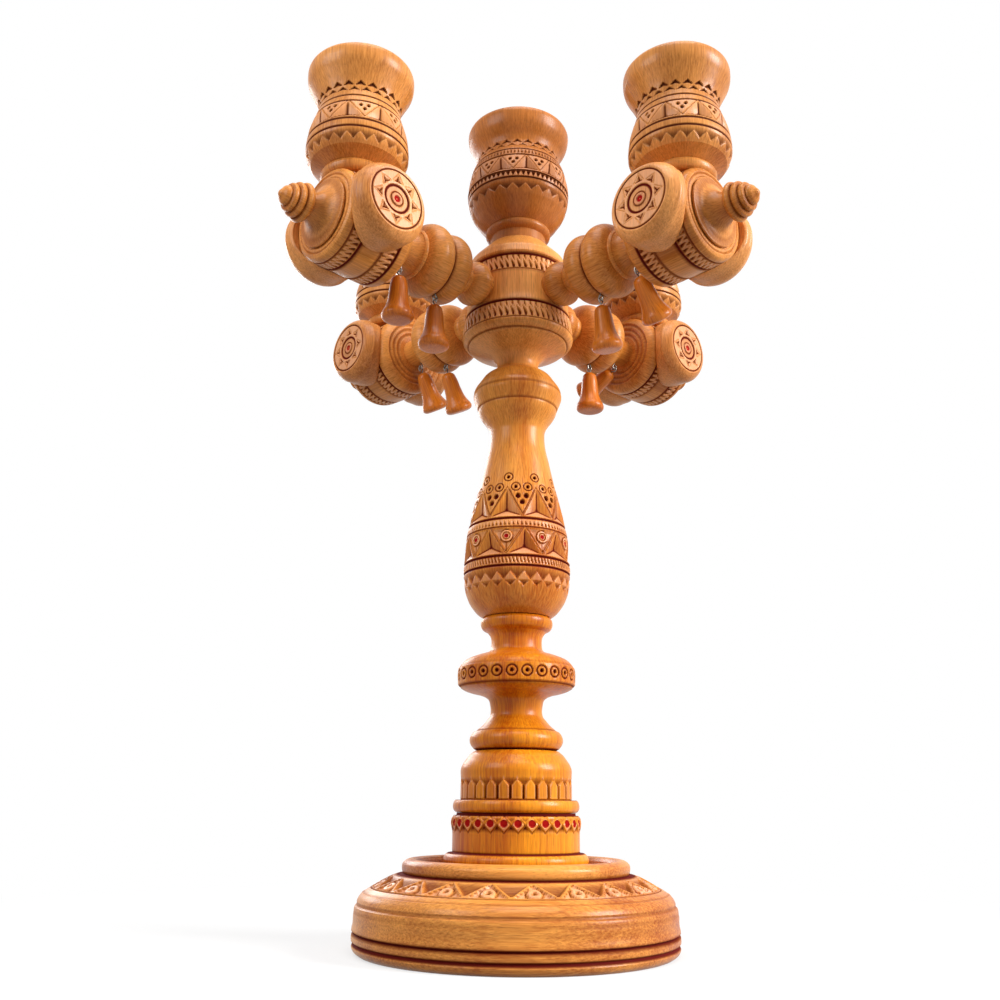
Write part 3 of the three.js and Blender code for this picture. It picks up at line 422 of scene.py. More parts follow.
# Two stains, the paint, and the pale of freshly cut wood, which also serves as painted
# highlight. Then how far ray flecks and the painted shade in the cuts darken the wood, the cut
# in millimetres where that painted shade is darkest, the roughness of the varnish and what
# staining and paint add to it, and the depth of the pores in metres.
BURGUNDY = srgb(94, 11, 3)
UMBER = srgb(80, 30, 6)
RED = srgb(158, 8, 4)
FRESH_CUT_AND_HIGHLIGHT = srgb(244, 180, 138)
FLECK_DARKENS = 0.3
CUT_SHADE_DARKENS = 0.4
DEEPEST_CUT = 2.4
SMOOTHEST = 0.36
ROUGHEST = 0.5
DULL_ADDS = 0.4
PORE_DEPTH = 0.0003


def varnished_beech(name, pale, deep, groove, gloss):
    """Turned beech under varnish, between two tones. The attribute carving gives the depth of the
    knife's cuts, which darkens the wood as painted shade, what is stained as a groove or darkened
    as painted shade in a cut or, below nought, left pale as freshly cut wood and as a painted
    highlight, and what is painted red."""
    material = bpy.data.materials.new(name)
    material.use_nodes = True
    tree = material.node_tree
    tree.nodes.clear()
    fibre = node(tree, "Attribute", {"attribute_name": "fibre"}, {}).outputs["Vector"]
    carving = node(tree, "Attribute", {"attribute_name": "carving"}, {}).outputs["Vector"]
    depth, stain_and_shade, paint = node(tree, "SeparateXYZ", {}, {0: carving}).outputs
    figure = tree.nodes.new("ShaderNodeGroup")
    figure.node_tree = beech
    tree.links.new(fibre, figure.inputs["Fibre"])
    tone, fleck, height = figure.outputs
    wood = mixed(tree, tone, deep, pale)
    wood = mixed(tree, arithmetic(tree, "MULTIPLY", fleck, FLECK_DARKENS), wood, UMBER)
    # Painted shade: the wood darkens towards the groove colour as the cut deepens.
    cut_shade = arithmetic(tree, "MULTIPLY", limits(tree, depth, 0.1, DEEPEST_CUT), CUT_SHADE_DARKENS)
    wood = mixed(tree, cut_shade, wood, groove)
    # Below nought the wood is painted pale, as freshly cut wood and as a painted highlight; above
    # it, stained grooves and painted shade go dark.
    wood = mixed(tree, limits(tree, stain_and_shade, 0.0, -1.0), wood, FRESH_CUT_AND_HIGHLIGHT)
    wood = mixed(tree, limits(tree, stain_and_shade, 0.05, 0.9), wood, groove)
    wood = mixed(tree, limits(tree, paint, 0.3, 0.7), wood, RED)
    dulled = arithmetic(
        tree, "MAXIMUM", limits(tree, stain_and_shade, 0.1, 0.7), limits(tree, paint, 0.1, 0.7))
    rough = node(tree, "MapRange", {}, {"Value": height, "To Min": SMOOTHEST, "To Max": ROUGHEST})
    rough = arithmetic(
        tree, "ADD", rough.outputs[0], arithmetic(tree, "MULTIPLY", dulled, DULL_ADDS))
    bump = node(tree, "Bump", {}, {"Strength": 0.2, "Distance": PORE_DEPTH, "Height": height})
    coat = arithmetic(tree, "MULTIPLY", arithmetic(tree, "SUBTRACT", 1.0, dulled), gloss)
    surface = node(tree, "BsdfPrincipled", {}, {
        "Base Color": wood, "Roughness": rough, "Normal": bump.outputs[0],
        "Specular IOR Level": 0.12, "Coat Weight": coat, "Coat Roughness": 0.24,
    })
    node(tree, "OutputMaterial", {}, {"Surface": surface.outputs[0]})
    return material


plank_beech = varnished_beech(
    "plank_beech", srgb(234, 156, 70), srgb(154, 66, 2), BURGUNDY, gloss=0.28)


def finish(piece, material, slot, body, *nodes):
    """Gives a piece its material, and puts it in the place of CAD nodes on a body. The slot is not
    used.
    """
    piece.data.materials.append(material)
    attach(piece, body)
    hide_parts(*nodes)


base = Turning(
    588,
    (6, (0, 0), (0, 68.5)),
    (0.8, (0, 68.5), (1.4, 70.4), (2.6, 71.0), (4.3, 71.0), (6.2, 71.3), (8.3, 71.1),
     (9.6, 71.2), (12, 70.8), (16.5, 70.7), (18.5, 70.4), (19.6, 69.9)),
    (0.7, (19.6, 69.9), (20.4, 69.6), (22.3, 68.8), (24.2, 67.3)),
    (0.55, (24.2, 67.3), (27.1, 62.3), (29, 58.8), (31, 54.6), (32.2, 50.6)),
    (0.6, (32.2, 50.0), (33.8, 50.4), (36, 50.2), (37.5, 48.6), (38, 46.6), (37.4, 44.6)),
    (1.5, (37.4, 44.6), (36.6, 44.0), (30, 43.8)),
    (6, (30, 43.8), (30, 0)),
)
for height in (4.3, 8.5):
    base.line(height, 1.55, 1.1)
# The staining of these two shoulder lines is painted shade under the shoulder's bead.
base.line(19.9, 1.6, 0.6, stain_and_shade=0.35)
base.line(16.9, 1.1, 0.35, stain_and_shade=0.25)
base.line(32.1, 1.0, 0.7)

# Distances on the slope are measured down it from its upper edge, and across it at the
# zigzag's radius.
SLOPE_TOP_RADIUS = 50.6
SLOPE_PER_RADIUS = 1.1
ZIGZAG_FOOT = 14.0
ZIGZAG_FIELDS = 21
ZIGZAG_RADIUS = 60
RING_EYE_RADIUS = 3.4

slope = (base.radius - SLOPE_TOP_RADIUS) * SLOPE_PER_RADIUS
on_slope = (base.height > 24.2) & (base.height < 32.2) & base.outside
for down, width, depth in ((0.6, 0.9, 0.6), (3.1, 0.7, 0.4), (14.3, 0.8, 0.55), (17.6, 0.8, 0.5)):
    line = on_slope * near(slope - down, width / 2)
    base.carve(depth * line, stain_and_shade=0.9 * line)
up = ZIGZAG_FOOT - slope
across = base.places(ZIGZAG_FIELDS, -10.2, ZIGZAG_RADIUS)
field = notch(across, up, [(-8.1, 0.4), (8.1, 0.4), (0, 10.2)], [1.8, 1.8, 1.8], 1.2)
eye = np.hypot(across, up - 3.7)
eye_depth = np.interp(eye, [0.8, 1.3, 2.6, RING_EYE_RADIUS], [1.8, 0.1, 0.1, 1.2])
field = np.where(eye < RING_EYE_RADIUS, eye_depth, field)
in_row = on_slope & (up > 0)
# The fields are painted pale, as freshly cut wood and as a painted highlight, and painted shade
# darkens their border beside the rib; the eyes' rims and pupils are stained.
rim = near(eye - RING_EYE_RADIUS, 0.6) * (field > 0.4)
border = near(field - 0.4, 0.4) * (eye > RING_EYE_RADIUS)
pupil = np.clip(1.7 - eye / 0.7, 0, 1)
base.carve(
    in_row * field, fresh_cut_and_highlight=0.55 * in_row * (field > 0.05),
    stain_and_shade=in_row * np.maximum.reduce([0.8 * rim, 0.9 * border, pupil]))
across = base.places(ZIGZAG_FIELDS, -1.6, ZIGZAG_RADIUS)
# The chips between the fields darken with painted shade as they deepen.
cut = on_slope * notch(
    across, up, [(0, 0.9), (8.0, 10.4), (-8.0, 10.4)], [1.6, 0.4, 1.6], 1.9)
base.carve(cut, stain_and_shade=0.48 * portion(cut, 0.8))

ALONG_PLANK = (1, 2, 0)
finish(
    base.piece("base_disc_carved", fibre=ALONG_PLANK),
    plank_beech, "turned_wood", "candelabra", "base_disc")

# The foot drum stands glued in the base's recess. It is turned of yellower beech, and a row of
# red dots is painted on it, each in a carved diamond.
honey_beech = varnished_beech(
    "honey_beech", srgb(238, 152, 26), srgb(174, 78, 0), BURGUNDY, gloss=0.28)
RED_DOTS = 30
DOT_HEIGHT = 53.35
DOT_RADIUS = 1.7
DRUM_RADIUS = 28.5

foot_drum = Turning(
    420,
    (6, (30.05, 0), (30.05, 30.6)),
    (0.8, (30.05, 30.6), (33, 31.3), (36, 32.0), (37.6, 32.3), (39.3, 31.9), (40.6, 30.4),
     (40.9, 28.9)),
    (0.7, (41.0, DRUM_RADIUS), (48.0, DRUM_RADIUS)),
    (0.45, (48.0, DRUM_RADIUS), (55.9, DRUM_RADIUS), (56.4, 28.0)),
    (0.5, (56.4, 28.0), (56.6, 26.8), (57.55, 26.8)),
    (6, (57.55, 26.8), (57.55, 0)),
)
tall = foot_drum.height
dots = foot_drum.places(RED_DOTS, 1.7, DRUM_RADIUS)
between = foot_drum.places(RED_DOTS, 7.7, DRUM_RADIUS)
off = np.hypot(dots, tall - DOT_HEIGHT)
foot_drum.carve(0.5 * portion(DOT_RADIUS - off, 0.3), paint=portion(1.85 - off, 0.35))
# Painted shade darkens the chips under and over the diamonds as they deepen.
cut = notch(between, tall, [(-2.9, 49.2), (2.9, 49.2), (0, 52.5)], [0.3, 1.8, 1.8], 1.1)
foot_drum.carve(cut, stain_and_shade=portion(cut, 0.7))
diamond = sides(dots, tall, [(-2.9, 52.6), (0, 49.4), (2.9, 52.6), (0, 56.2)]).min(axis=0)
line = near(diamond, 0.45)
foot_drum.carve(0.4 * line, stain_and_shade=np.where(tall < 53, 0.9, 0.25) * line, fresh_cut_and_highlight=0.35 * (diamond > 0))
above = notch(between, tall, [(0, 53.6), (2.4, 56.1), (-2.4, 56.1)], [1.5, 0.5, 1.5], 0.8)
foot_drum.carve(above, stain_and_shade=0.35 * portion(above, 0.5))
# Painted shade: the narrow top of the drum under the picket drum is darkened fully, as the shadow
# in the gap there.
foot_drum.carve(0, stain_and_shade=1.0 * (tall > 56.3))
foot_drum.line(40.9, 0.9, 0.2)
finish(foot_drum.piece("foot_drum_carved"), honey_beech, "turned_wood", "candelabra", "foot_drum")

# The picket drum is turned of the same beech and glued on the foot drum. A row of pointed pickets
# is left standing on it between narrow slots and the chips over them.
PICKETS = 27
PICKET_FOOT = 63.4
PICKET_SHOULDER = 69
PICKET_TIP = 72.6
PICKET_RADIUS = 25.2

picket_drum = Turning(
    378,
    (6, (57.75, 0), (57.75, 27.2)),
    (0.7, (57.75, 27.2), (58.2, 27.8), (62.7, 27.8), (63.15, 27.4)),
    (0.6, (63.2, 27.3), (63.2, 25.3)),
    (0.45, (63.2, PICKET_RADIUS), (73, PICKET_RADIUS)),
    (0.7, (73, PICKET_RADIUS), (76.5, PICKET_RADIUS), (78.6, 24.4), (80.5, 23.1),
     (82.4, 21.7), (84.35, 19.4)),
    (6, (84.35, 19.4), (84.35, 0)),
)
tall = picket_drum.height
picket = picket_drum.places(PICKETS, 0.9, PICKET_RADIUS)
gap = picket_drum.places(PICKETS, 0.9 + 180 / PICKETS, PICKET_RADIUS)
# The slots are darkened with painted shade, and the chips over them darken with painted shade as
# they deepen.
slot = (tall > PICKET_FOOT) * (tall < PICKET_SHOULDER) * portion(0.6 - np.abs(gap), 0.3)
picket_drum.carve(1.5 * slot, stain_and_shade=0.9 * slot)
cut = notch(
    gap, tall, [(0, 68.0), (2.9, 71.2), (2.9, 72.4), (-2.9, 72.4), (-2.9, 71.2)],
    [1.7, 9, 0.45, 9, 1.7], 1.3)
picket_drum.carve(cut, stain_and_shade=0.5 * portion(cut, 0.8))
edge = sides(picket, tall, [
    (-2.4, PICKET_FOOT), (2.4, PICKET_FOOT), (2.4, PICKET_SHOULDER), (0, PICKET_TIP),
    (-2.4, PICKET_SHOULDER)]).min(axis=0)
# The pickets' edges are painted pale, as freshly cut wood and as a painted highlight.
picket_drum.carve(0, fresh_cut_and_highlight=0.5 * near(edge - 0.2, 0.6))
picket_drum.line(63.2, 0.7, 0.2, stain_and_shade=0.8)
finish(
    picket_drum.piece("picket_drum_carved"),
    honey_beech, "turned_wood", "candelabra", "picket_drum")

# The next length of the column is turned of the same beech. It is plain but for the disc on it,
# which is punched round its edge with rings with a dot in each.
disc_stem = Turning(
    400,
    (6, (84.65, 0), (84.65, 18.6)),
    (0.8, (84.65, 18.6), (86.2, 20.3), (88, 21.3), (90, 21.4), (92, 20.5), (93, 19.6)),
    (0.8, (93, 19.6), (94, 17.9), (95.7, 15.8), (98, 13.8), (100, 12.3), (102.4, 11.9),
     (105, 12.2), (107.5, 12.9), (109, 14.8)),
    (0.7, (109, 14.8), (110.1, 17.8), (111, 21.7), (112, 24.5), (113.4, 26.6), (114.4, 27.3)),
    (0.5, (114.4, 27.3), (116, 27.4), (120.5, 27.4), (121.8, 27.2)),
    (0.7, (121.8, 27.2), (123.2, 26.2), (125.3, 24.2), (127.2, 20.2), (129.1, 14.1)),
    (0.8, (129.1, 14.1), (130.1, 12.6), (133.5, 11.9), (136.8, 12.3), (139, 13.8)),
    (0.5, (139.2, 14.2), (140.2, 16.0), (142.5, 17.0), (144.6, 16.7), (145.65, 15.6)),
    (6, (145.65, 15.6), (145.65, 0)),
)


def ringed_dot(turning, across, along, radius, width, depth, dot):
    """A punched ring with a drilled dot at its middle, both stained."""
    off = np.hypot(across, along)
    ring = near(off - radius, width / 2)
    hole = np.clip((dot - off) / 0.35 + 0.5, 0, 1)
    turning.carve(np.maximum(depth * ring, 1.2 * hole), stain_and_shade=np.maximum(ring, hole) * 1.4)


disc_stem.line(113.4, 0.9, 0.5, stain_and_shade=0.7)
disc_stem.line(122.6, 0.9, 0.3, stain_and_shade=0.3)
disc_stem.line(93.6, 0.8, 0.4, stain_and_shade=0.5)
disc_stem.line(84.8, 0.9, 0.3)
PUNCHED_RINGS = 25
PUNCHED_HEIGHT = 118.2
ringed_dot(
    disc_stem, disc_stem.places(PUNCHED_RINGS, -4.4, 27.4), disc_stem.height - PUNCHED_HEIGHT,
    radius=2.4, width=1.1, depth=0.7, dot=0.8)
finish(
    disc_stem.piece("disc_stem_punched"), honey_beech, "turned_wood", "candelabra", "disc_stem")

# The baluster is one turned length of beech and carries the richest carving: rings and dots,
# two bands of chip carved triangles, rows of ticks between stained lines, and a row of diamonds
# where it is thickest.
baluster_beech = varnished_beech(
    "baluster_beech", srgb(238, 158, 64), srgb(180, 90, 10), BURGUNDY, gloss=0.28)
TRIANGLES = 9

baluster = Turning(
    450,
    (5, (145.95, 0), (145.95, 16.2)),
    (0.9, (145.95, 16.2), (148.2, 19.2), (150, 20.7), (153, 22.7), (156.4, 24.1)),
    (0.45, (156.4, 24.1), (157, 24.3), (161, 25.1), (166, 25.6), (170, 25.6), (175, 25.2),
     (180, 24.9), (185, 24.5), (190, 23.5), (195, 22.5), (200, 21.3), (206, 19.8),
     (212, 18.2), (213.6, 17.85)),
    (1.1, (213.6, 17.85), (218, 16.9), (224, 15.6), (230, 14.2), (236, 13.6), (240, 13.8),
     (242.3, 14.7)),
    (0.7, (242.3, 14.7), (244.6, 16.2), (247, 18.0), (249, 19.1), (251, 19.8), (253.2, 20.6),
     (256, 21.7), (257.8, 22.2), (260, 22.1), (262, 21.5), (264.2, 20.1), (266.4, 18.6),
     (268.6, 17.1), (270.8, 14.3), (271.95, 12.5)),
    (6, (271.95, 12.5), (271.95, 0)),
)
tall = baluster.height

# The upper rings with dots stand over the tips of the upper band's chips, the lower ones in
# pairs over its flat triangles.
ringed_dot(
    baluster, baluster.places(TRIANGLES, -13, 18.5), tall - 210.9,
    radius=2.1, width=0.8, depth=0.5, dot=0.75)
for side in (-8.3, 8.3):
    ringed_dot(
        baluster, baluster.places(TRIANGLES, 6.5 + side, 19.9), tall - 205.6,
        radius=2.1, width=0.8, depth=0.5, dot=0.75)

# The upper band: flat triangles with three drilled holes, between chips that point upwards.
UPPER_RADIUS = 22.3
flat = baluster.places(TRIANGLES, 6.5, UPPER_RADIUS)
rib = sides(flat, tall, [(0, 189.8), (7.6, 204.6), (-7.6, 204.6)])[[0, 2]].min(axis=0)
in_upper_band = (tall > 190) & (tall < 204.4)
line = in_upper_band * near(rib - 0.8, 0.4)
baluster.carve(0.5 * line, stain_and_shade=0.9 * line)
line = in_upper_band * near(rib, 0.35)
baluster.carve(0, stain_and_shade=0.6 * line)
for across, height in ((-2.1, 200.8), (2.1, 200.8), (0, 197.5)):
    hole = portion(1.4 - np.hypot(flat - across, tall - height), 0.3)
    baluster.carve(1.3 * hole, stain_and_shade=hole)
baluster.chip(
    baluster.places(TRIANGLES, -13.5, UPPER_RADIUS), tall,
    [(-7.6, 190.1), (7.6, 190.1), (0, 204.6)], deepest=(0, 194.0), depth=2.5)

# A row of leaning ticks between two stained lines.
baluster.line(189.1, 1.2, 0.8)
ticks = baluster.places(76, 0, 24.5)
lean = (tall - 186.6) * 0.25
cut = notch(ticks + lean, tall, [(-0.85, 185.3), (0.85, 185.3), (0.2, 188.3)], [0.7, 2.5, 0.9], 0.8)
# The notches darken with painted shade as they deepen, and the band is painted pale, as freshly cut
# wood and as a painted highlight.
baluster.carve(
    cut, stain_and_shade=0.8 * portion(cut, 0.5), fresh_cut_and_highlight=0.35 * (np.abs(tall - 186.9) < 1.6))
baluster.line(184.7, 0.8, 0.45, stain_and_shade=0.8)

# The middle band: chips that point upwards, between sunk fields. Each field holds a ringed eye
# with a red middle.
MIDDLE_RADIUS = 24.9
RED_EYE_RADIUS = 3.1
baluster.chip(
    baluster.places(TRIANGLES, 8.5, MIDDLE_RADIUS), tall,
    [(-8.0, 171.6), (8.0, 171.6), (0, 184.0)], deepest=(0, 175.7), depth=2.6)
field = baluster.places(TRIANGLES, -11.5, MIDDLE_RADIUS)
corners = [(0, 173.0), (7.2, 183.9), (-7.2, 183.9)]
sunk = notch(field, tall, corners, [1.4, 0.5, 1.4], 0.8)
off = np.hypot(field, tall - 180.3)
eye_depth = np.interp(
    off, [0.6, 1.1, 1.6, 2.1, 2.7, RED_EYE_RADIUS], [0.5, 0.1, 0.5, 0.05, 0.05, 0.9])
sunk = np.where(off < RED_EYE_RADIUS, eye_depth, sunk)
in_band = (tall > 171.6) & (tall < 184.2)
rim = near(off - 3.0, 0.4)
right_side, top_side, left_side = sides(field, tall, corners)
border = near(np.minimum(left_side, right_side), 0.35) * (off > RED_EYE_RADIUS) * (top_side > -0.5)
ring = np.clip(1.1 - np.abs(off - 1.7) / 0.4, 0, 0.8)
baluster.carve(
    sunk * in_band, stain_and_shade=in_band * np.maximum.reduce([rim, 0.8 * border, ring]),
    paint=portion(1.25 - off, 0.3),
    fresh_cut_and_highlight=in_band * np.where(off < RED_EYE_RADIUS, 0.7, 0.25 * (sunk > 0.3)))
seam = (tall > 172.5) * (tall < 177.5) * near(field, 0.4)
baluster.carve(1.1 * seam, stain_and_shade=0.9 * seam)

# A leaning rope between two stained lines.
baluster.line(170.7, 1.2, 0.8)
rope = baluster.places(94, 0, 25.6) + (tall - 168.6) * 0.3
cut = notch(
    rope, tall, [(-0.6, 167.0), (0.6, 167.0), (0.5, 170.2), (-0.4, 170.2)],
    [0.8, 2.2, 0.8, 0.9], 0.7)
baluster.carve(cut, stain_and_shade=0.7 * portion(cut, 0.5), fresh_cut_and_highlight=0.4 * (np.abs(tall - 168.5) < 1.7))
baluster.line(166.2, 1.2, 0.8)

# A row of diamonds is left between chips above and smaller chips below.
DIAMONDS = 25
low = baluster.places(DIAMONDS, -7.1, 25.3)
high = baluster.places(DIAMONDS, 0.1, 25.3)
cut = notch(high, tall, [(0, 159.4), (4.78, 165.1), (-4.78, 165.1)], [1.8, 0.3, 1.8], 1.6)
# The chips darken with painted shade as they deepen, and the diamonds left between them are painted
# pale, as freshly cut wood and as a painted highlight.
baluster.carve(cut, stain_and_shade=0.5 * portion(cut, 0.8))
baluster.carve(0, fresh_cut_and_highlight=0.25 * (cut < 0.05) * (tall > 159.6) * (tall < 164.9))
cut = notch(low, tall, [(0, 156.5), (3.1, 159.6), (-3.1, 159.6)], [1.8, 0.6, 1.8], 1.6)
baluster.carve(cut, stain_and_shade=0.5 * portion(cut, 0.9))
baluster.line(251.6, 0.9, 0.4, stain_and_shade=0.6)
baluster.line(259.8, 0.9, 0.35, stain_and_shade=0.5)
finish(baluster.piece("baluster_carved"), baluster_beech, "turned_wood", "candelabra", "baluster")

# The hub is turned of beech and joins the four arms, which are glued into it, to the column. A
# band of leaning teeth is cut round it above the arms and another below them, each under a
# stained groove.
hub = Turning(
    360,
    (5, (272.25, 0), (272.25, 11.4)),
    (1.0, (272.25, 11.4), (273, 11), (277, 10.8), (280, 13), (283, 19), (285.0, 23.6)),
    (0.6, (285.0, 23.6), (285.6, 24.8), (286.6, 25.7), (288, 27.6), (289.4, 28.3), (290.6, 28.4)),
    (0.5, (290.6, 28.4), (295, 28), (301.2, 27.1)),
    (1.6, (301.2, 27.1), (304, 26.5), (310, 26), (318.2, 25.5)),
    (0.5, (318.2, 25.5), (327.8, 25.2)),
    (0.8, (327.8, 25.2), (328.3, 25.9), (331, 25.5), (333, 24.9), (336, 22.4), (340, 18.6),
     (342.95, 15.9)),
    (6, (342.95, 15.9), (342.95, 0)),
)


def toothed_band(turning, low, high, count, radius, lean):
    """A band of leaning teeth: pointed cuts from below meet pointed cuts from above, and leave a
    zigzag ridge between them."""
    pitch = 2 * math.pi * radius / count
    tall = turning.height
    skew = (tall - (low + high) / 2) * lean
    below = turning.places(count, 0, radius) + skew
    above = turning.places(count, 180 / count, radius) + skew
    rise = high - low
    # Both rows of cuts darken with painted shade as they deepen, and the band is painted pale, as
    # freshly cut wood and as a painted highlight.
    cut = notch(
        below, tall, [(-0.4 * pitch, low), (0.4 * pitch, low), (0, low + 0.85 * rise)],
        [2, 1.6, 1.6], 1.1)
    turning.carve(
        cut, stain_and_shade=0.85 * portion(cut, 0.8), fresh_cut_and_highlight=0.3 * ((tall > low) & (tall < high)))
    cut = notch(
        above, tall, [(-0.26 * pitch, high), (0, high - 0.6 * rise), (0.26 * pitch, high)],
        [1.6, 1.6, 2], 0.8)
    turning.carve(cut, stain_and_shade=0.7 * portion(cut, 0.6))


toothed_band(hub, 319.1, 326.2, count=53, radius=25.4, lean=0.4)
toothed_band(hub, 291.2, 299.4, count=57, radius=27.8, lean=0.4)
hub.line(327.0, 1.5, 1.0)
hub.line(318.6, 0.8, 0.5, stain_and_shade=0.7)
hub.line(300.3, 1.5, 1.0)
hub.line(290.6, 0.7, 0.4, stain_and_shade=0.6)
hub.line(286.4, 0.8, 0.6, stain_and_shade=0.5)
hub_beech = varnished_beech(
    "hub_beech", srgb(240, 164, 84), srgb(184, 106, 38), BURGUNDY, gloss=0.2)
finish(hub.piece("hub_carved"), hub_beech, "turned_wood", "candelabra", "hub")

# The middle candle cup is turned of beech and glued on the hub. Its flared mouth leads to a bore
# for a candle, and its waist and belly carry rows of arrowheads, a band of chip carved
# triangles, fine ticks and pointed teeth.
# The middle cup's tones are darker than the arm cups' beech, as painted shade.
shaded_cup_beech = varnished_beech(
    "shaded_cup_beech", srgb(190, 115, 50), srgb(144, 80, 24), UMBER, gloss=0.2)
BORE_RADIUS = 11.5


def mouth(rim_height, rim_radius, floor):
    """Stretches of a cup's mouth: in over the rim, down to the candle's bore and to its floor."""
    return (
        (0.8, (rim_height, rim_radius), (rim_height + 0.35, rim_radius - 1.2),
         (rim_height - 0.2, rim_radius - 2.6), (rim_height - 3, rim_radius - 5.5),
         (rim_height - 7.5, rim_radius - 10.5), (rim_height - 12, 12.2)),
        (1.6, (rim_height - 12, 12.2), (rim_height - 13.4, BORE_RADIUS), (floor, BORE_RADIUS)),
        (3, (floor, BORE_RADIUS), (floor, 0)),
    )


def arrowheads(turning, count, first, radius, tip, thick, reach):
    """A row of small cuts shaped as arrowheads that point upwards, thick under the point and
    drawn out thin along both barbs as far as reach."""
    across = np.abs(turning.places(count, first, radius))
    under = tip - turning.height - 0.8 * across
    room = np.maximum(thick * (1 - across / reach), 0.01)
    cut = np.clip(np.minimum(under / 0.4, (room - under) / (0.7 * room)), 0, 1)
    turning.carve(0.9 * cut * np.clip(room, 0, 1), stain_and_shade=np.clip(2 * cut, 0, 1))


def pointed_teeth(turning, count, first, radius, top, bottom, floor):
    """A row of cuts pointed downwards under a line, which leave a row of pointed teeth."""
    across = turning.places(count, first, radius)
    reach = math.pi * radius / count
    wide = reach * (top - bottom) / (top - bottom - 1.4)
    cut = notch(
        across, turning.height, [(0, bottom), (wide, top), (-wide, top)], [1.7, floor, 1.7], 1.3)
    # The cuts darken with painted shade as they deepen.
    turning.carve(cut, stain_and_shade=0.6 * portion(cut, 0.7))


def dotted_triangles(turning, count, first, radius, base, apex):
    """A band of chips pointed upwards, with flat triangles between them that hold three dots."""
    reach = math.pi * radius / count - 0.35
    turning.chip(
        turning.places(count, first + 180 / count, radius), turning.height,
        [(-reach, base), (reach, base), (0, apex)], (0, base + 0.22 * (apex - base)), 2.1)
    flat = turning.places(count, first, radius)
    # The band is painted pale, as freshly cut wood and as a painted highlight.
    turning.carve(0, fresh_cut_and_highlight=0.25 * ((turning.height > base) & (turning.height < apex)))
    for across, height in ((-1.75, apex - 2.2), (1.75, apex - 2.2), (0, apex - 4.6)):
        hole = portion(0.95 - np.hypot(flat - across, turning.height - height), 0.3)
        turning.carve(1.2 * hole, stain_and_shade=1.2 * hole)


centre_cup = Turning(
    360,
    (5, (343.25, 0), (343.25, 14.8)),
    (0.8, (343.25, 14.8), (348.5, 14.6)),
    (0.5, (348.6, 14.7), (349.4, 16.0), (350.9, 17.1), (352.6, 17.0), (353.4, 16.3)),
    (0.9, (353.5, 16.4), (356, 19.3), (358, 21), (360, 22.3), (363, 24.3)),
    (0.45, (363, 24.3), (366, 25.6), (370, 26.6), (375, 27.1), (379, 26.8), (383, 26),
     (387, 25.1), (390, 24), (392, 22.9), (395, 22.0), (397, 21.8), (397.6, 21.9)),
    (0.9, (397.6, 21.9), (400, 22.8), (403, 24.8), (406, 26.4), (409, 27.1), (412, 27.2),
     (413.25, 26.6)),
    *mouth(413.25, 26.6, floor=375.6),
)
arrowheads(centre_cup, 24, -1.5, radius=21.9, tip=397.0, thick=2.0, reach=3.1)
arrowheads(centre_cup, 24, 6.0, radius=22.2, tip=394.2, thick=1.3, reach=3.1)
centre_cup.line(389.2, 0.9, 0.6)
cut = notch(
    centre_cup.places(84, 0, 25.2), centre_cup.height,
    [(-0.6, 385.9), (0.6, 385.9), (0.35, 388.2), (-0.35, 388.2)], [1, 1.5, 1, 1.5], 0.6)
centre_cup.carve(cut, stain_and_shade=0.8 * portion(cut, 0.4))
centre_cup.line(384.9, 0.7, 0.5)
dotted_triangles(centre_cup, 12, -5.6, radius=26.4, base=375.0, apex=384.2)
centre_cup.line(374.2, 0.9, 0.6)
cut = notch(
    centre_cup.places(64, 0, 26.8), centre_cup.height,
    [(0, 370.9), (1.35, 373.9), (-1.35, 373.9)], [1.4, 1, 1.4], 0.9)
# The notches darken with painted shade as they deepen, and the band is painted pale, as freshly cut
# wood and as a painted highlight.
centre_cup.carve(
    cut, stain_and_shade=portion(cut, 0.4), fresh_cut_and_highlight=0.35 * (np.abs(centre_cup.height - 372.4) < 1.5))
centre_cup.line(370.7, 0.9, 0.6)
pointed_teeth(centre_cup, 24, 0.8, radius=26.1, top=368.8, bottom=364.4, floor=0.32)
finish(
    centre_cup.piece("centre_cup_carved"),
    shaded_cup_beech, "turned_wood", "candelabra", "centre_cup")

# Four arms stand out level from the hub. Each is turned of beech as a mushroom, a bead, two
# balls and a neck, with one tenon glued into the hub and one into the barrel on its end.
ARMS = {"back_right": 45, "back_left": 135, "front_left": 225, "front_right": 315}
ARM_HEIGHT = 311.2
UP = np.array([0.0, 0.0, 1.0])
tan_beech = varnished_beech(
    "tan_beech", srgb(228, 152, 74), srgb(168, 94, 28), BURGUNDY, gloss=0.2)

spindle = Turning(
    128,
    (3, (24.6, 0), (24.6, 8.0)),
    (0.6, (24.6, 8.0), (26.6, 8.4), (28, 9.9), (29.5, 10.8), (31, 11.1), (33.5, 10.8),
     (35.8, 9.2), (37.4, 7.2)),
    (0.5, (37.5, 7.0), (38.6, 7.7), (40, 7.9), (41.4, 7.5), (42.4, 6.9)),
    (0.8, (42.5, 7.2), (43, 9.5), (44.5, 13.2), (47, 16.1), (50.5, 17.3), (54, 16.7), (56.5, 14.7)),
    (0.8, (56.5, 14.7), (58.8, 16.8), (62, 18.1), (65.8, 17.6), (69, 15), (70.3, 12.2)),
    (0.4, (70.4, 11.8), (71.5, 12.5), (72.6, 11.6)),
    (0.8, (72.7, 11.2), (74, 9.7), (76, 8.5), (79, 7.5), (84.95, 7.6)),
    (3, (84.95, 7.6), (84.95, 0)),
)
spindle.line(56.5, 0.9, 0.4)


def ways(place):
    """The ways out along an arm from the column, to its left, and up."""
    angle = math.radians(ARMS[place])
    out = np.array([math.cos(angle), math.sin(angle), 0])
    return out, np.cross(UP, out), UP


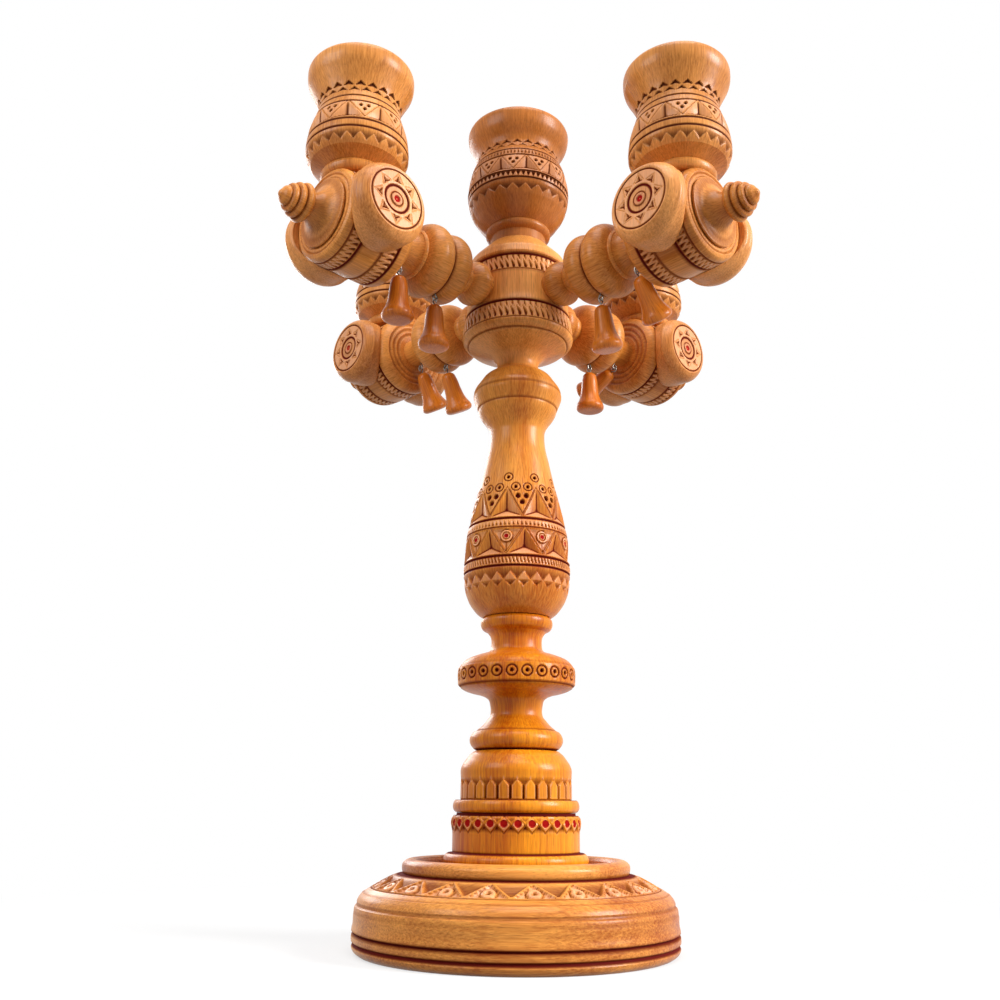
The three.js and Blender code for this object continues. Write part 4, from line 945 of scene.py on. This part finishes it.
def axes(along, side):
    """The three axes of a turning that stands along one way with its turn of 90 at another."""
    return np.column_stack([side, np.cross(along, side), along])


def along_arms(turning, node_name):
    """Puts a turning that lies along the arm on all four. Its heights are the distances from
    the column's middle."""
    for place in ARMS:
        out, left, up = ways(place)
        piece = turning.piece(f"{place}_{node_name}_turned", axes(out, left), ARM_HEIGHT * up)
        finish(piece, tan_beech, "turned_wood", "candelabra", f"{place}_{node_name}")


along_arms(spindle, "arm")

# A short barrel of the same beech is glued on the end of each arm. Two bands of leaning teeth
# are cut round it, and three rings are turned in the end that faces the column.
barrel = Turning(
    336,
    (3, (85.05, 0), (85.05, 9.6)),
    (0.6, (85.05, 9.6), (85.05, 18.6)),
    (0.6, (85.05, 18.6), (85.6, 19.6), (87, 21.3), (88.6, 22.2), (90.4, 22.4)),
    (0.5, (90.4, 22.4), (99.6, 22.3)),
    (1.5, (99.6, 22.3), (110, 22.1)),
    (0.5, (110, 22.1), (117.6, 21.8)),
    (0.7, (117.6, 21.8), (119.8, 21.4), (120.9, 20.6), (121.45, 19.4)),
    (0.3, (121.45, 19.4), (121.5, 16.9)),
    (3, (121.2, 16.6), (121.2, 0)),
)
toothed_band(barrel, 93.2, 98.9, count=50, radius=22.3, lean=0.3)
toothed_band(barrel, 111.4, 117.0, count=50, radius=21.9, lean=0.3)
barrel.line(92.4, 1.3, 0.9)
barrel.line(99.5, 0.8, 0.6, stain_and_shade=0.7)
barrel.line(110.7, 1.3, 0.9)
barrel.line(117.5, 0.8, 0.5, stain_and_shade=0.8)
for radius in (11.4, 14.4, 17.4):
    ring = np.clip(1.4 - np.abs(barrel.radius - radius) / 0.8, 0, 1) * (barrel.height < 85.1)
    barrel.carve(0.6 * ring, stain_and_shade=0.3 * ring)
on_end = near(barrel.radius - 18.4, 0.6) * (barrel.height > 121.4)
barrel.carve(0.7 * on_end, stain_and_shade=0.3 * on_end)
along_arms(barrel, "barrel")

# A point of the same beech is glued into the outer end of each barrel. It is turned with rings
# that grow smaller towards its tip, with faint lines between them darkened as painted shade.
point = Turning(
    96,
    (3, (121.6, 0), (121.6, 15.4)),
    (0.4, (121.6, 15.4), (121.9, 16.1), (122.7, 15.9), (122.9, 15.2)),
    (0.7, (122.9, 15.2), (123.4, 13.2), (124.4, 10.5), (126, 8.3), (128, 6.8), (130.4, 5.9)),
    (0.4, (130.5, 6.2), (131.3, 8.0), (133.2, 9.0), (134.7, 8.2)),
    (0.4, (134.7, 7.2), (135.5, 7.7), (136.8, 7.9), (137.8, 7.0)),
    (0.4, (137.8, 6.0), (138.4, 6.3), (139.6, 6.3), (140.5, 5.3)),
    (0.4, (140.5, 4.5), (141.2, 4.5), (142.2, 4.0), (143.4, 2.4), (144.5, 0.9), (144.75, 0)),
)

# The lines are darkened as painted shade.
for height in (123.2, 130.5, 134.7, 137.8, 140.5):
    point.line(height, 0.9, 0.2, stain_and_shade=0.35)
along_arms(point, "finial")

# The candle cup of each arm is turned of beech and glued upright into the top of its barrel. It
# is a little smaller than the middle cup, with the same kinds of carving but for the fine
# ticks, and each is turned its own way.
CUP_PLACE = 105.5
CUP_TURNS = {"back_right": 8, "back_left": -12, "front_left": 0, "front_right": -21}
arm_cup_beech = varnished_beech(
    "arm_cup_beech", srgb(222, 148, 72), srgb(164, 94, 34), UMBER, gloss=0.25)

arm_cup = Turning(
    330,
    (4, (332.0, 0), (332.0, 14.4)),
    (0.5, (332.0, 14.4), (332.6, 15.2), (334.2, 16.1), (336.2, 16.1), (337.4, 15.0)),
    (0.8, (337.5, 14.8), (338.3, 16), (341, 21.0)),
    (0.5, (341, 21.0), (343, 22.4), (345, 23.3), (349, 23.7), (353, 23.4), (357, 22.8),
     (361, 21.7), (365, 20.4), (369, 19.3), (371, 19.1), (373, 19.2), (375, 19.8)),
    (0.9, (375, 19.8), (377, 20.7), (381, 22.7), (385, 24.6), (388, 25), (391, 24.6),
     (391.65, 24.1)),
    *mouth(391.65, 24.1, floor=354.0),
)
arrowheads(arm_cup, 22, 9.5, radius=19.3, tip=375.0, thick=2.2, reach=2.9)
arrowheads(arm_cup, 22, 1.3, radius=19.3, tip=372.2, thick=1.9, reach=2.9)
arm_cup.line(367.0, 0.9, 0.6)
arm_cup.line(363.1, 0.8, 0.5)
dotted_triangles(arm_cup, 9, 15.7, radius=22.3, base=353.0, apex=362.6)
arm_cup.line(352.0, 1.0, 0.65)
arm_cup.line(348.0, 1.0, 0.65)
pointed_teeth(arm_cup, 24, 4.5, radius=23.0, top=346.5, bottom=342.0, floor=0.3)
for place in ARMS:
    out, _, up = ways(place)
    turned = math.radians(CUP_TURNS[place])
    cup_side = np.array([math.cos(turned), math.sin(turned), 0])
    piece = arm_cup.piece(f"{place}_cup_carved", axes(up, cup_side), CUP_PLACE * out)
    finish(piece, arm_cup_beech, "turned_wood", "candelabra", f"{place}_cup")

# A round beech medallion is glued on either side of each barrel. Its back is hollowed to sit on
# the round of the barrel, and its face is cut with rings about a red middle and a star of eight
# small triangles.
medallion_beech = varnished_beech(
    "medallion_beech", srgb(232, 158, 88), srgb(174, 104, 46), BURGUNDY, gloss=0.2)
BARREL_TOUCH = 22.5
BACK = 12
BULGE = 28
OUTER_RING = 13.5
STAR_POINTS = 8
ACROSS_FACE = (0, 2, 1)

medallion = Turning(
    160,
    (2.2, (BACK, 0), (BACK, 17.6)),
    (0.8, (BACK, 17.6), (13, 17.9), (22, 18.4), (25, 18.5), (BULGE, 17.9), (30, 16.8),
     (31.3, 15.6), (31.9, 14.7)),
    (0.4, (31.9, 14.7), (31.95, 12.4)),
    (0.45, (31.95, 12.4), (31.95, 0.45), (31.95, 0)),
)
medallion.outside[:] = True
face = (medallion.height > 31.5)
from_middle = medallion.radius


def face_ring(radius, width, depth, stain_and_shade):
    """A groove round the face of a medallion."""
    cut = near(from_middle - radius, width / 2) * face
    medallion.carve(depth * cut, stain_and_shade * np.clip(cut * 2, 0, 1))


face_ring(OUTER_RING, width=1.0, depth=0.7, stain_and_shade=1.0)
face_ring(6.3, width=1.7, depth=0.9, stain_and_shade=1.0)
face_ring(3.2, width=1.0, depth=0.7, stain_and_shade=0.9)
# The face inside the outer ring is painted pale, as freshly cut wood and as a painted highlight,
# and less so on the sunk ring about the middle, as painted shade.
dished = face * np.clip(3 - np.abs(from_middle - 4.75) / 0.5, 0, 1)
medallion.carve(0.4 * dished, fresh_cut_and_highlight=face * (from_middle < OUTER_RING) * (0.42 - 0.3 * dished))
middle = np.maximum(portion(1.6 - from_middle, 0.4), 0.4 * (from_middle < 2.8))
medallion.carve(0.5 * face * (from_middle < 1.4), paint=face * middle)
ray = medallion.places(STAR_POINTS, 0, 1)
medallion.outside[:] = face
medallion.chip(
    np.sin(ray) * from_middle, np.cos(ray) * from_middle,
    [(-2.3, 7.9), (2.3, 7.9), (0, 11.3)], deepest=(0, 9.0), depth=1.2, beside=0.45)


def cope(own):
    """Moves a medallion's back and side out to the round barrel: at a distance up or down from
    its middle the back follows the circle of the barrel, and the side is shortened to meet it."""
    seat = np.sqrt(np.maximum(BARREL_TOUCH ** 2 - own[..., 1] ** 2, 0))
    tall = own[..., 2]
    low = np.minimum(tall, BULGE)
    own[..., 2] = seat + (low - BACK) * (BULGE - seat) / (BULGE - BACK) + (tall - low)
    return own


for place in ARMS:
    out, left, up = ways(place)
    for hand, side in (("left", left), ("right", -left)):
        piece = medallion.piece(
            f"{place}_medallion_{hand}_carved", axes(side, np.cross(up, side)),
            ARM_HEIGHT * up + CUP_PLACE * out, fibre=ACROSS_FACE, warp=cope)
        finish(piece, medallion_beech, "turned_wood", "candelabra", f"{place}_medallion_{hand}")

# Two bells of lacquered wood hang under each arm. Each hangs on two linked eyes of thin steel
# wire, one driven into the arm and one into the bell's top, and most lean as they came to rest.
bell_lacquer = varnished_beech(
    "bell_lacquer", srgb(222, 128, 36), srgb(176, 86, 14), UMBER, gloss=0.34)
LOOP_RADIUS = 1.3
WIRE_RADIUS = 0.38
WIRE_SIDES = 12
DRIVEN_IN = 4
BELOW_PIVOT = 0.2
LEANS = {
    "back_right": {"inner": 0, "outer": 68},
    "back_left": {"inner": -26, "outer": -30},
    "front_left": {"inner": 0, "outer": 0},
    "front_right": {"inner": 10, "outer": 38},
}

bell = Turning(
    48,
    (1.2, (-25.55, 0), (-25.5, 3.6)),
    (0.6, (-25.5, 3.6), (-25.3, 5.5), (-24.6, 6.9), (-23.4, 7.5), (-21.9, 7.3), (-19.8, 6.3),
     (-17, 5.3), (-12.5, 4.6), (-6.5, 4.0), (-4.0, 3.3), (-3.0, 2.2), (-2.5, 0.8), (-2.5, 0)),
)


def wire_eye(name, neck, axes, origin):
    """A wire that comes down a shank and bends round into an eye about its own Y. Circles stand
    square to the wire along its way, in the plane of the way's normal and Y."""
    turn = np.radians(120 + np.linspace(0, 300, 13))
    loop = np.stack(
        [LOOP_RADIUS * np.cos(turn), 0 * turn, LOOP_RADIUS * np.sin(turn)], axis=-1)
    shank = [(0, 0, 1.7 + neck + DRIVEN_IN), (0, 0, 1.7 + neck), (0, 0, 2.5)]
    way = smooth([*shank, *loop], 0.22)
    ahead = np.gradient(way, axis=0)
    ahead /= np.linalg.norm(ahead, axis=1)[:, None]
    level = np.array([0.0, 1.0, 0.0])
    across = np.cross(level, ahead)
    spread = np.radians(np.arange(WIRE_SIDES) * 360 / WIRE_SIDES)[:, None]
    grid = way[:, None] + WIRE_RADIUS * (
        np.cos(spread) * across[:, None] + np.sin(spread) * level)
    own = np.vstack([grid.reshape(-1, 3), way[0] - 0.1 * ahead[0], way[-1] + 0.1 * ahead[-1]])
    placed = (own @ np.array(axes, float).T + origin) / 1000
    return closed_skin(
        name, placed[:-2].reshape(grid.shape), placed[-2], placed[-1], {"fibre": own / 1000})


wire_steel = bpy.data.materials.new("wire_steel")
wire_steel.use_nodes = True
tree = wire_steel.node_tree
tree.nodes.clear()
fibre = node(tree, "Attribute", {"attribute_name": "fibre"}, {}).outputs["Vector"]
drawn = stretched_noise(tree, fibre, across=2500, along=900, detail=2.0)
steel_rough = node(tree, "MapRange", {}, {"Value": drawn, "To Min": 0.2, "To Max": 0.45})
steel = node(tree, "BsdfPrincipled", {}, {
    "Base Color": mixed(tree, drawn, srgb(104, 98, 90), srgb(168, 162, 154)), "Metallic": 1.0,
    "Roughness": steel_rough.outputs[0],
})
node(tree, "OutputMaterial", {}, {"Surface": steel.outputs[0]})


def leaning(degrees):
    """A turn about X by so many degrees."""
    cos, sin = math.cos(math.radians(degrees)), math.sin(math.radians(degrees))
    return np.array([[1, 0, 0], [0, cos, -sin], [0, sin, cos]])


for place in ARMS:
    out, left, up = ways(place)
    arm_frame = np.column_stack([out, left, up])
    for which, reach, drop in (("inner", 56.3, 18.4), ("outer", 78.4, 11.6)):
        lean = leaning(LEANS[place][which])
        pivot = ARM_HEIGHT * up + reach * out - drop * up
        name = f"{place}_{which}"
        eye_piece = wire_eye(f"{name}_eye_wire", 1.0, arm_frame, pivot + LOOP_RADIUS * up)
        finish(eye_piece, wire_steel, "wire", "candelabra", f"{name}_eye")
        over = arm_frame @ lean @ np.array([[0, 1, 0], [1, 0, 0], [0, 0, -1]])
        loop_middle = pivot + arm_frame @ lean @ np.array([0, 0, -BELOW_PIVOT])
        bell_eye = wire_eye(f"{name}_bell_eye_wire", 0.6, over, loop_middle)
        finish(bell_eye, wire_steel, "wire", f"{name}_pendant", f"{name}_bell_eye")
        piece = bell.piece(f"{name}_bell_lacquered", arm_frame @ lean, pivot)
        finish(piece, bell_lacquer, "bell_wood", f"{name}_pendant", f"{name}_bell")
